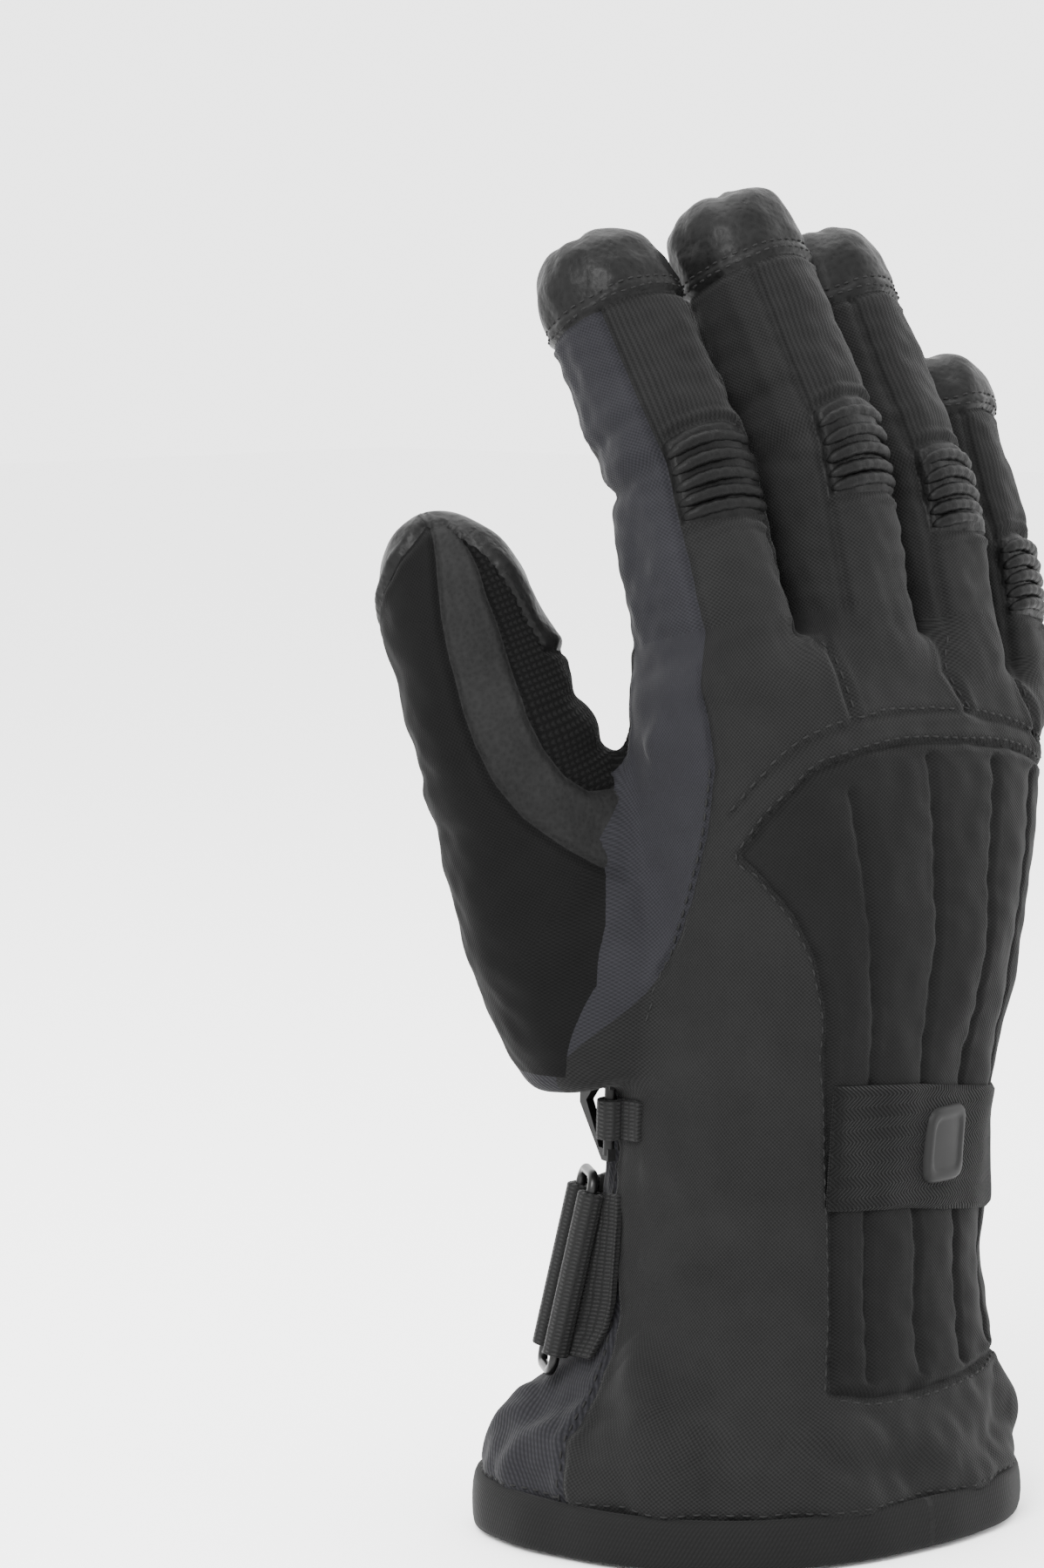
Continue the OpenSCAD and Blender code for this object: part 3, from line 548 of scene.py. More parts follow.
def body_fields(u, z):
    f = dict(side=polyline(u, z, SIDE_SEAM)[0], thumb=polyline(u, z, THUMB_SEAM)[0],
             little=polyline(u, z, LITTLE_SEAM)[0], palm_edge=polyline(u, z, PALM_EDGE)[0],
             grip_foot=polyline(u, z, GRIP_FOOT)[0], insert=polyline(u, z, INSERT, closed=True)[0])
    f["hem"] = z - HEM_TOP - hem_rise(u)
    # this seam's distance has no meaning on the thumb side of the body
    f["little"] = np.where(u < 0, FAR_MM, f["little"])
    return f


def body_relief(u, z, p):
    f = body_fields(u, z)
    in_insert = smoothstep(-0.5, 0.5, f["insert"])
    on_back = smoothstep(-1, 1, f["side"]) * smoothstep(-1, 1, f["little"])
    on_palm = 1 - on_back
    hand = smoothstep(98, 104, z)
    out = groove(f["side"], 0.9, 0.8) + groove(f["little"], 0.9, 0.8) + groove(f["insert"], 1.0, 0.8)
    out += hand * on_palm * groove(f["thumb"], 1.0, 0.9)
    channel = np.abs(f["insert"])
    for line in CHANNELS:
        c, _ = polyline(u, z, line)
        out += in_insert * groove(c, 0.8, 0.75, 0.1)
        channel = np.minimum(channel, np.abs(c))
    out += in_insert * (0.4 + 0.75 * (1 - np.exp(-(channel / 3.2) ** 2)))
    out += in_insert * 0.16 * np.sin(z * 1.05 + u * 0.2) * bump(channel, 2.6)
    for line in YOKE_SEAMS:
        out += on_back * groove(polyline(u, z, line)[0], 0.9, 0.8)
    yoke = polyline(u, z, YOKE_LINE)[0]
    out += on_back * (1 - in_insert) * (groove(yoke, 0.6, 0.7) + 0.3 * bump(yoke + 3, 2.2))
    seam = np.minimum(np.abs(f["side"]), np.abs(f["insert"]))
    out += on_back * (1 - in_insert) * 0.7 * (1 - np.exp(-(seam / 5.5) ** 2))
    out += 0.2 * np.sin(z * 0.9 + 0.4 * np.sin(z * 0.31)) * bump(f["side"], 3.0) * (1 - in_insert)
    # the elastic gathers the wrist on the palm side
    gather = on_palm * bump((z - 86) / 9, 1) * smoothstep(0, 12, np.abs(((u + 180) % 360) - 180) - 95)
    out += gather * (0.95 * np.sin(u * 0.78 + 1.3 * np.sin(z * 0.18)) - 1.4)
    out += on_palm * hand * (groove(f["palm_edge"], 0.9, 0.8) - 0.3 * bump(f["palm_edge"] - 3.2, 0.6))
    out += -0.8 * bump(f["hem"] - 0.5, 1.2)
    for start, end, height, width in FOLDS:
        out += FOLD_DEPTH * fold(u, z, start, end, height, width)
    low = smoothstep(46, 24, z)
    return out + (0.3 + 0.35 * low) * wave_noise(p, 24, 1) + (0.1 + 0.12 * low) * wave_noise(p, 9, 2)


def relief(p):
    """How far the skin stands out from its plain shape, by seams, padding, ribs and folds."""
    parts = np.stack(skin_parts(p), 1)
    u, z = body_coordinates(p)
    out = np.zeros(len(p))
    weight = np.zeros(len(p))
    for k in range(6):
        others = np.delete(parts, k, 1).min(1)
        w = smoothstep(-3.0, 3.0, others - parts[:, k])
        near = w > 0
        if k == 0:
            value = body_relief(u[near], z[near], p[near])
        elif k == 5:
            value = thumb_relief(*THUMB.coordinates(p[near]), p[near])
        else:
            value = finger_relief(DIGITS[k - 1], *DIGITS[k - 1].coordinates(p[near]), p[near])
        out[near] += w[near] * value
        weight += w
    return out / np.maximum(weight, 1e-6)


# ---------------------------------------------------------------- the skin, cut into its panels
THUMB_CUT = unit([-0.85, 0.5, 0.632])
THUMB_CUT_AT = 113.0
THUMB_BLEND, TIP_CUT, TIP_BLEND = 9.0, 51.0, 12.0
CUFF_TOP = 100.0


class Skin:
    def __init__(self, h):
        verts, quads = build_skin(h)
        self.tris = np.concatenate([quads[:, [0, 1, 2]], quads[:, [0, 2, 3]]])
        self.base = verts
        plain = vertex_normals(verts, self.tris)
        self.pos = verts + plain * relief(verts)[:, None]
        self.nor = vertex_normals(self.pos, self.tris)
        self.columns = self.measure(self.base)

    @staticmethod
    def measure(p):
        """Angle and height on the body, angle and length on the five digits, then the six distances."""
        found = [*body_coordinates(p)]
        for digit in [*DIGITS, THUMB]:
            found += [*digit.coordinates(p)]
        return np.stack(found + skin_parts(p), 1)

    def body(self):
        return self.columns[:, 0], self.columns[:, 1]

    def digit(self, k):
        return self.columns[:, 2 + 2 * k], self.columns[:, 3 + 2 * k]

    def tri_mean(self, values):
        return values[self.tris].mean(1)

    def tri_angle(self):
        """The angle round the body of each triangle's middle."""
        u = np.radians(self.columns[:, 0])[self.tris]
        return np.degrees(np.arctan2(np.sin(u).mean(1), np.cos(u).mean(1)))

    def distances(self):
        return self.columns[:, 12:][self.tris].mean(1)

    def cut(self, f, labels, mask, value):
        """Split the masked triangles along f = 0, and give those where f > 0 the label value."""
        f = np.where(np.abs(f) < 0.06, 0.0, f)
        ft = f[self.tris]
        cross = mask & (ft.min(1) < 0) & (ft.max(1) > 0)
        keep_t, keep_l, keep_m = self.tris[~cross], labels[~cross], mask[~cross]
        t, lab = self.tris[cross], labels[cross]
        if len(t):
            ft = f[t]
            zero = (ft == 0).any(1)
            positive = (ft > 0).sum(1)
            lone = np.where(zero, (ft == 0).argmax(1), np.where(positive == 1, ft.argmax(1), ft.argmin(1)))
            rows = np.arange(len(t))
            p, q, r = t[rows, lone], t[rows, (lone + 1) % 3], t[rows, (lone + 2) % 3]
            edges = np.concatenate([np.stack([p, q], 1)[~zero], np.stack([p, r], 1)[~zero],
                                    np.stack([q, r], 1)[zero]])
            edges.sort(1)
            unique, back = np.unique(edges, axis=0, return_inverse=True)
            back = back.reshape(-1)
            share = (f[unique[:, 0]] / (f[unique[:, 0]] - f[unique[:, 1]]))[:, None]
            start = len(self.pos)
            fresh = [mix(a[unique[:, 0]], a[unique[:, 1]], share) for a in (self.pos, self.nor, self.base)]
            self.pos = np.concatenate([self.pos, fresh[0]])
            self.nor = np.concatenate([self.nor, fresh[1]])
            self.base = np.concatenate([self.base, fresh[2]])
            self.columns = np.concatenate([self.columns, self.measure(fresh[2])])
            f = np.concatenate([f, np.zeros(len(unique))])
            n = (~zero).sum()
            m1, m2, m3 = start + back[:n], start + back[n:2 * n], start + back[2 * n:]
            p1, q1, r1 = p[~zero], q[~zero], r[~zero]
            p2, q2, r2 = p[zero], q[zero], r[zero]
            new = np.concatenate([np.stack(x, 1) for x in ((p1, m1, m2), (m1, q1, r1), (m1, r1, m2),
                                                           (p2, q2, m3), (p2, m3, r2))])
            l1, l2 = lab[~zero], lab[zero]
            self.tris = np.concatenate([keep_t, new])
            labels = np.concatenate([keep_l, l1, l1, l1, l2, l2])
            mask = np.concatenate([keep_m, np.ones(len(new), bool)])
        labels = labels.copy()
        labels[mask & (f[self.tris].sum(1) > 0)] = value
        return labels


CUFF, HAND = "cuff", "hand"


THUMB_REACH = 24.0      # how far from the thumb its root's panel spreads on the hand
MOUTH_Z = 0.8


class PanelCuts:
    """The skin's triangles with a label each: body segment and panel, joined by a colon."""

    def __init__(self, skin):
        self.skin, self.names = skin, ["none"]
        self.labels = np.full(len(skin.tris), self.code("body"))

    def code(self, name):
        if name not in self.names:
            self.names.append(name)
        return self.names.index(name)

    def has(self, name):
        return self.labels == self.code(name)

    def give(self, name, to, where=True):
        """Relabel the triangles of a panel where a test holds."""
        self.labels[self.has(name) & where] = self.code(to)

    def cut(self, f, name, to):
        """Split a panel along f = 0 and relabel its side where f > 0."""
        self.labels = self.skin.cut(f, self.labels, self.has(name), self.code(to))

    def segments(self):
        """The segments that the pieces are grouped by: two parts of each digit, the hand, the cuff, and the
        cuff's open end.
        """
        skin = self.skin
        distances = skin.distances()
        nearest, closest = distances[:, 1:].argmin(1), distances[:, 1:].min(1)
        near_digit = (closest < 4.0) & (closest < distances[:, 0] + 3.0)
        for k, digit in enumerate(DIGITS):
            s = skin.tri_mean(skin.digit(k)[1])
            self.labels[near_digit & (nearest == k) & (s > -4)] = self.code(digit.name + "_lower")
        for k, digit in enumerate(DIGITS):
            lower = digit.name + "_lower"
            self.cut(0.5 - skin.digit(k)[1], lower, "body")
            self.cut(skin.digit(k)[1] - (digit.length - RIB_BELOW - 0.5), lower, digit.name + "_upper")
        distances = skin.distances()
        high = skin.tri_mean(skin.body()[1]) > 104
        self.give("body", "thumb_lower", (distances[:, 5] < distances[:, 0]) & high)
        self.cut(THUMB_CUT_AT - skin.base @ THUMB_CUT, "thumb_lower", "body")
        self.cut(skin.digit(4)[1] - TIP_CUT, "thumb_lower", "thumb_tip")
        self.cut(MOUTH_Z - skin.base[:, 2], "body", "mouth")
        self.cut(skin.body()[1] - CUFF_TOP, "body", HAND)
        self.give("body", CUFF)
        self.cut(-body_fields(*skin.body())["hem"], CUFF, "hem")

    def finger(self, k):
        digit = DIGITS[k]
        for part in ("_lower", "_upper"):
            own = digit.name + part

            def cut(field, name, to):
                self.cut(digit_fields(digit, *self.skin.digit(k))[field], name, to)

            if part == "_upper":
                cut("cap", own, own + ":cap")
            cut("palm", own, own + ":palm")
            cut("edge", own, own + ":back")
            if part == "_upper":
                cut("rib_high", own + ":back", own + ":ribs")
            self.give(own, own + ":thumb_side", self.skin.tri_mean(self.skin.digit(k)[0]) < 0)
            self.give(own, own + ":little_side")

    def thumb(self):
        """The thumb's panels, with the part of it that belongs to the hand."""
        skin, root = self.skin, HAND + ":left"

        def cut(field, name, to):
            self.cut(thumb_fields(*skin.digit(4))[field], name, to)

        self.cut(-body_fields(*skin.body())["thumb"], HAND, root)
        u = skin.tri_mean(skin.body()[0])
        self.give(root, HAND, (u >= -85) & (u <= 150))
        self.give(root, HAND, skin.distances()[:, 5] > THUMB_REACH)
        for own in (root, "thumb_lower", "thumb_tip"):
            cut("cap", own, own + ":cap")
            cut("left", own, own + ":strip")
            cut("right", own + ":strip", own + ":inner")
            ang = skin.tri_mean(skin.digit(4)[0])
            self.give(own + ":strip", own, (ang > 120) | (ang < -60))
            self.give(own + ":inner", own, (ang > 150) | (ang < -60))
            cut("palm_strip", own, own + ":strip")
            ang = skin.tri_mean(skin.digit(4)[0])
            self.give(own, own + ":inner", (ang < PALM_STRIP[0]) | (ang > 100))

    def body(self):
        """The panels of the hand and the cuff."""
        skin = self.skin

        def cut(field, name, to, sign=1):
            self.cut(sign * body_fields(*skin.body())[field], name, to)

        for own in (HAND, CUFF):
            cut("insert", own, own + ":insert")
            cut("little", own, own + ":back")
            self.give(own + ":back", own, np.abs(skin.tri_angle()) > 140)
            cut("side", own + ":back", own + ":side", sign=-1)
            u = skin.tri_angle()
            self.give(own, own + ":side", (u < -60) & (u > -150))
            x, z = (skin.tri_mean(skin.base[:, c]) for c in (0, 2))
            self.give(own + ":side", own + ":back", (x > LANE_X[0] - 6) & (z > 176))
        cut("palm_edge", HAND, HAND + ":palm")
        cut("grip_foot", HAND, HAND + ":grip")


def cut_panels(skin):
    cuts = PanelCuts(skin)
    cuts.segments()
    for k in range(len(DIGITS)):
        cuts.finger(k)
    cuts.thumb()
    cuts.body()
    return cuts.labels, cuts.names

# ---------------------------------------------------------------- materials
TONE = 0.135             # of each tone below, for the bright studio


def linear(value):
    value = (value, value, value) if isinstance(value, float) else value
    return (*(TONE * v for v in value), 1.0)


class Nodes:
    """A material and a short way to add nodes to it."""

    def __init__(self, name, roughness, **sockets):
        self.material = bpy.data.materials.new(name)
        self.material.use_nodes = True
        self.tree = self.material.node_tree
        self.shader = self.tree.nodes["Principled BSDF"]
        self.shader.inputs["Roughness"].default_value = roughness
        for key, value in sockets.items():
            self.shader.inputs[key.replace("_", " ")].default_value = value

    def add(self, kind, inputs=(), **settings):
        node = self.tree.nodes.new(kind)
        for key, value in settings.items():
            setattr(node, key, value)
        for key, value in dict(inputs).items():
            if hasattr(value, "links"):
                self.tree.links.new(value, node.inputs[key])
            else:
                node.inputs[key].default_value = value
        return node

    def math(self, operation, a, b=0.0, c=0.0):
        return self.add("ShaderNodeMath", {0: a, 1: b, 2: c}, operation=operation).outputs[0]

    def noise(self, scale, detail=4.0, roughness=0.55):
        where = self.add("ShaderNodeTexCoord").outputs["Object"]
        return self.add("ShaderNodeTexNoise", {"Vector": where, "Scale": scale, "Detail": detail,
                                               "Roughness": roughness}).outputs[0]

    def cells(self, scale, feature="F1"):
        where = self.add("ShaderNodeTexCoord").outputs["Object"]
        return self.add("ShaderNodeTexVoronoi", {"Vector": where, "Scale": scale}, feature=feature).outputs[0]

    def cloth(self):
        """The cloth's own coordinates in millimetres, across and along."""
        uv = self.add("ShaderNodeUVMap", uv_map="cloth").outputs[0]
        split = self.add("ShaderNodeSeparateXYZ", {0: uv})
        return split.outputs[0], split.outputs[1]

    def wave(self, x, pitch, phase=0.0):
        turns = self.math("MULTIPLY_ADD", x, 2 * math.pi / pitch, phase)
        return self.math("MULTIPLY_ADD", self.math("SINE", turns), 0.5, 0.5)

    def colour(self, factor, low, high, share=(0.25, 0.75)):
        ramp = self.add("ShaderNodeValToRGB", {0: factor})
        ramp.color_ramp.elements[0].position, ramp.color_ramp.elements[1].position = share
        ramp.color_ramp.elements[0].color, ramp.color_ramp.elements[1].color = linear(low), linear(high)
        self.tree.links.new(ramp.outputs[0], self.shader.inputs["Base Color"])

    def bump(self, height, strength, distance):
        node = self.add("ShaderNodeBump", {"Height": height, "Strength": strength, "Distance": distance})
        self.tree.links.new(node.outputs[0], self.shader.inputs["Normal"])

    def rough(self, factor, low, high):
        value = self.add("ShaderNodeMapRange", {"Value": factor, "To Min": low, "To Max": high}).outputs[0]
        self.tree.links.new(value, self.shader.inputs["Roughness"])


def fabric(name, low, high, pitch=0.7, bump=0.35, twill=False, cord=0.0, roughness=0.82, sheen=0.25,
           blotch=55.0):
    """Woven cloth: threads over and under, slubs, and a soft change of tone."""
    m = Nodes(name, roughness, Sheen_Weight=0.12 * sheen, Sheen_Roughness=0.4, Specular_IOR_Level=0.05)
    x, y = m.cloth()
    if twill:
        weave = m.wave(m.math("MULTIPLY_ADD", y, 0.8, m.math("MULTIPLY", x, 1.0)), pitch)
        weave = m.math("MULTIPLY", weave, m.math("MULTIPLY_ADD", m.wave(y, pitch * 0.9), 0.4, 0.6))
    else:
        over = m.math("MULTIPLY", m.wave(x, pitch), m.wave(y, pitch))
        under = m.math("MULTIPLY", m.wave(x, pitch, math.pi), m.wave(y, pitch, math.pi))
        weave = m.math("ADD", over, under)
    if cord:
        weave = m.math("MULTIPLY_ADD", weave, 0.5, m.math("MULTIPLY", m.wave(x, cord), 0.55))
    slub = m.noise(2600.0, 3.0, 0.7)
    weave = m.math("MULTIPLY_ADD", slub, 0.5, weave)
    tone = m.math("MULTIPLY_ADD", weave, 0.55, m.math("MULTIPLY", m.noise(blotch, 5.0, 0.6), 0.45))
    m.colour(tone, low, high, (0.25, 0.95))
    m.bump(weave, bump, 0.0002)
    return m.material


def leather(name, low, high, grain=900.0, bump=0.45, roughness=0.5, coat=0.0):
    m = Nodes(name, roughness, Specular_IOR_Level=0.07, Coat_Weight=coat, Coat_Roughness=0.35)
    pebbles = m.cells(grain, "SMOOTH_F1")
    fine = m.noise(grain * 2.2, 3.0, 0.6)
    crease = m.noise(130.0, 6.0, 0.7)
    height = m.math("MULTIPLY_ADD", fine, 0.35, m.math("MULTIPLY_ADD", crease, 0.6, pebbles))
    m.colour(m.math("MULTIPLY_ADD", m.noise(40.0, 5.0), 0.7, m.math("MULTIPLY", pebbles, 0.4)), low, high)
    m.rough(crease, roughness - 0.12, roughness + 0.14)
    m.bump(height, bump, 0.0003)
    return m.material


def knit(name, low, high, pitch=1.4, bump=0.8):
    """Coarse knit of round loops in offset rows."""
    m = Nodes(name, 0.85, Sheen_Weight=0.01, Specular_IOR_Level=0.04)
    x, y = m.cloth()
    row = m.wave(y, pitch)
    column = m.wave(m.math("MULTIPLY_ADD", row, pitch * 0.22, x), pitch * 0.9)
    loops = m.math("MULTIPLY", row, column)
    height = m.math("MULTIPLY_ADD", m.noise(2400.0, 3.0, 0.7), 0.35, loops)
    m.colour(height, low, high, (0.15, 0.8))
    m.bump(height, bump, 0.0005)
    return m.material


def herringbone(name, low, high):
    m = Nodes(name, 0.8, Sheen_Weight=0.02, Specular_IOR_Level=0.05)
    x, y = m.cloth()
    zigzag = m.math("PINGPONG", y, 2.4)
    bone = m.wave(m.math("ADD", x, zigzag), 0.95)
    height = m.math("MULTIPLY_ADD", m.noise(2500.0, 2.0, 0.6), 0.4, bone)
    m.colour(height, low, high, (0.1, 1.0))
    m.bump(height, 0.8, 0.0004)
    return m.material


def ribbed(name, low, high):
    """Webbing: heavy cords across, bound by fine threads along."""
    m = Nodes(name, 0.7, Sheen_Weight=0.02, Specular_IOR_Level=0.10)
    x, y = m.cloth()
    threads = m.math("MULTIPLY", m.wave(x, 1.9), m.wave(y, 0.85))
    height = m.math("MULTIPLY_ADD", m.noise(2300.0, 2.0, 0.6), 0.4, threads)
    m.colour(height, low, high, (0.1, 0.9))
    m.bump(height, 0.9, 0.0004)
    return m.material


def moulded(name, low, high, roughness, metallic=0.0, coat=0.0):
    m = Nodes(name, roughness, Metallic=metallic, Coat_Weight=coat, Specular_IOR_Level=0.12)
    wear = m.noise(160.0, 5.0, 0.65)
    m.colour(wear, low, high)
    m.rough(wear, roughness - 0.08, roughness + 0.12)
    m.bump(m.noise(1800.0, 3.0, 0.6), 0.12, 0.0001)
    return m.material


def make_materials():
    """Each finish of the glove, by the name that the pieces use."""
    return dict(
        shell=fabric("shell_fabric", 0.018, 0.066, pitch=0.85, bump=0.5),
        corded=fabric("corded_fabric", 0.014, 0.060, pitch=0.8, bump=0.5, cord=1.1),
        side=fabric("side_fabric", (0.036, 0.036, 0.042), (0.092, 0.091, 0.106), pitch=0.85, bump=0.45,
                    sheen=0.35),
        quilt=fabric("insert_fabric", 0.010, 0.040, pitch=0.8, bump=0.45),
        dark=fabric("thumb_shell_fabric", 0.006, 0.024, pitch=0.8, bump=0.3, sheen=0.12),
        gusset=fabric("gusset_fabric", (0.030, 0.030, 0.036), (0.096, 0.095, 0.108), pitch=1.1, bump=0.5,
                      twill=True),
        leather=leather("palm_leather", 0.014, 0.038, 750.0, 0.6, 0.45),
        strip=leather("strip_suede", 0.022, 0.052, 1100.0, 0.5, 0.72),
        cap=leather("tip_leather", 0.012, 0.042, 800.0, 0.5, 0.42),
        rib=leather("rib_pad", 0.010, 0.026, 1500.0, 0.3, 0.5),
        grip=knit("grip_knit", 0.008, 0.026),
        lining=fabric("lining_pile", 0.05, 0.09, pitch=1.2, bump=0.7, roughness=0.95, sheen=0.5),
        binding=fabric("binding_tape", 0.028, 0.048, pitch=0.7, bump=0.35, twill=True),
        band=herringbone("elastic_band", 0.008, 0.030),
        webbing=ribbed("webbing", 0.016, 0.075),
        badge=moulded("badge_rubber", 0.034, 0.050, 0.55),
        wire=moulded("wire", 0.10, 0.20, 0.34, metallic=0.9),
        clip=moulded("clip_plastic", 0.012, 0.022, 0.42),
        thread=moulded("thread", 0.030, 0.060, 0.7),
    )


# ---------------------------------------------------------------- pieces
def new_piece(name, verts, faces, material, uv=None, normals=None):
    mesh = bpy.data.meshes.new(name)
    mesh.from_pydata((np.asarray(verts) * MM).tolist(), [], np.asarray(faces).tolist()
                     if isinstance(faces, np.ndarray) else faces)
    mesh.update()
    mesh.polygons.foreach_set("use_smooth", np.ones(len(mesh.polygons), bool))
    layer = mesh.uv_layers.new(name="cloth")
    uv = np.zeros((len(verts), 2)) if uv is None else np.asarray(uv)
    loops = np.empty(len(mesh.loops), np.int32)
    mesh.loops.foreach_get("vertex_index", loops)
    layer.data.foreach_set("uv", uv[loops].astype(np.float32).ravel())
    if normals is not None:
        mesh.normals_split_custom_set_from_vertices(np.asarray(normals).tolist())
    obj = bpy.data.objects.new(name, mesh)
    bpy.context.scene.collection.objects.link(obj)
    mesh.materials.append(material)
    return obj


def attach(piece, segment):
    """Ride on the cuff's body; the pieces of every other segment keep their place, with the transform baked
    into the mesh.
    """
    if segment == CUFF:
        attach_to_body(piece, CUFF)
    elif segment == HAND:
        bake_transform(piece)
    elif segment == "thumb_lower":
        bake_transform(piece)
    elif segment == "thumb_tip":
        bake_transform(piece)
    else:
        if segment.endswith("_lower"):
            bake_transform(piece)
        else:
            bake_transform(piece)


FINGER_PANELS = [
    ("_lower:back", "lower_back", "shell_fabric", "shell", ["lower_back"]),
    ("_lower:palm", "lower_palm", "leather", "leather", ["lower_palm", "lower_liner"]),
    ("_lower:little_side", "lower_little_side", "shell_fabric", "shell", ["lower_sides"]),
    ("_lower:thumb_side", "lower_thumb_side", "shell_fabric", "shell", []),
    ("_upper:ribs", "rib_pad", "rib_pad", "rib", ["ribs"]),
    ("_upper:back", "upper_back", "shell_fabric", "corded", ["upper_back"]),
    ("_upper:little_side", "upper_little_side", "shell_fabric", "shell", ["upper_sides"]),
    ("_upper:thumb_side", "upper_thumb_side", "shell_fabric", "shell", []),
    ("_upper:palm", "upper_palm", "leather", "leather", ["upper_liner"]),
    ("_upper:cap", "tip_cap", "leather", "cap", ["upper_leather"]),
]
PANELS = [
    ("hand", "hand_knuckle_yoke", "shell_fabric", "shell", []),
    ("hand:back", "hand_back_yoke", "shell_fabric", "shell", ["back_yoke"]),
    ("hand:insert", "hand_quilted_insert", "insert_fabric", "quilt", ["insert_upper"]),
    ("hand:side", "hand_side_panel", "side_fabric", "side", ["thumb_side_panel"]),
    ("hand:palm", "hand_palm_leather", "leather", "leather", ["palm_leather"]),
    ("hand:grip", "hand_palm_grip", "grip_fabric", "grip", ["palm_grip"]),
    ("hand:left", "thumb_root_shell", "insert_fabric", "dark", []),
    ("hand:left:strip", "thumb_root_strip", "leather", "strip", []),
    ("hand:left:inner", "thumb_root_inner", "grip_fabric", "grip", []),
    ("hand:left:cap", "thumb_root_cap", "leather", "leather", []),
    ("cuff", "cuff_knit_gusset", "side_fabric", "gusset", ["cuff_gusset"]),
    ("cuff:side", "cuff_side_gusset", "side_fabric", "gusset", []),
    ("cuff:back", "cuff_back_panel", "shell_fabric", "shell", ["cuff_back"]),
    ("cuff:insert", "cuff_quilted_insert", "insert_fabric", "quilt", ["insert_lower"]),
    ("thumb_lower", "thumb_shell", "insert_fabric", "dark", ["thumb_lower_shell", "thumb_lower_liner"]),
    ("thumb_lower:strip", "thumb_strip_panel", "leather", "strip", ["thumb_strip"]),
    ("thumb_lower:inner", "thumb_inner_panel", "grip_fabric", "grip", []),
    ("thumb_lower:cap", "thumb_inner_leather", "leather", "cap", []),
    ("thumb_tip", "thumb_end_shell", "insert_fabric", "dark", ["thumb_upper_shell", "thumb_upper_liner"]),
    ("thumb_tip:strip", "thumb_end_strip", "leather", "strip", []),
    ("thumb_tip:inner", "thumb_end_inner", "grip_fabric", "grip", []),
    ("thumb_tip:cap", "thumb_end_cap", "leather", "cap", ["thumb_cap"]),
]


def panel_rows():
    rows = list(PANELS)
    for digit in DIGITS:
        for label, piece, slot, material, nodes in FINGER_PANELS:
            if digit.name == "index" and "thumb_side" in label:
                slot, material = "side_fabric", "side"
            rows.append((digit.name + label, digit.name + "_" + piece, slot, material,
                         [digit.name + "_" + n for n in nodes]))
    return rows


def cloth_uv(skin, used, segment):
    """Millimetres across and along the cloth, without a jump inside a panel."""
    if segment in (CUFF, HAND):
        u, z = (c[used] for c in skin.body())
        u = np.where((u < -60) & (np.median(np.abs(u)) > 100), u + 360, u)
        return np.stack([u * ARC, z], 1)
    k = 4 if segment.startswith("thumb") else [d.name for d in DIGITS].index(segment.split("_")[0])
    ang, s = (c[used] for c in skin.digit(k))
    ang = np.where((ang < 0) & (np.median(np.abs(ang)) > 110), ang + 360, ang)
    return np.stack([ang * (THUMB_ARC if k == 4 else FINGER_ARC), s], 1)


def make_panels(skin, labels, names, materials):
    for label, piece, slot, material, nodes in panel_rows():
        if label not in names:
            continue
        tris = skin.tris[labels == names.index(label)]
        if not len(tris):
            continue
        used, faces = np.unique(tris, return_inverse=True)
        segment = label.split(":")[0]
        obj = new_piece(piece, skin.pos[used], faces.reshape(-1, 3), materials[material],
                        cloth_uv(skin, used, segment), skin.nor[used])
        attach(obj, segment)
        if nodes:
            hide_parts(*nodes)

# ---------------------------------------------------------------- hem, lining, band, badge, webbing
WEBBING_MM, WIRE_MM, PLAY_MM = 1.5, 1.1, 0.2
STRAP_Z = (37.5, 74.5)
TAB_Z = (STRAP_Z[0] + 1, STRAP_Z[1] - 1)
TAIL_OFF, UNDER_OFF = 3.0, 0.6
CLIP_Z, CLIP_TAB_HALF = 90, 4.4
STRAP_MIDDLE_Z = 56


def oval(u, z, off=0.0):
    """The point of the body's plain oval at an angle and a height, off millimetres further out."""
    u, z = np.broadcast_arrays(np.radians(np.asarray(u, float)), np.asarray(z, float))
    u, z = u.ravel(), z.ravel()
    cx, cy, a, b = station(z)
    x, y = np.sin(u), -np.cos(u)
    r = (np.abs(x) ** OVAL_POWER + np.abs(y) ** OVAL_POWER) ** (-1 / OVAL_POWER)
    flat = np.stack([x * np.abs(x * r) ** 0.4 / a, y * np.abs(y * r) ** 0.4 / b], 1)
    flat /= np.linalg.norm(flat, axis=1, keepdims=True)
    p = np.stack([cx + a * r * x, cy + b * r * y, z], 1)
    p[:, :2] += np.broadcast_to(off, p.shape[0])[:, None] * flat
    return p


def grid_faces(rows, columns, closed=False):
    """Quads of a grid of points, wound for columns that go round and rows that go on."""
    i, j = np.meshgrid(np.arange(rows - 1), np.arange(columns if closed else columns - 1), indexing="ij")
    a, b = i * columns + j, i * columns + (j + 1) % columns
    return np.stack([a, b, b + columns, a + columns], -1).reshape(-1, 4)


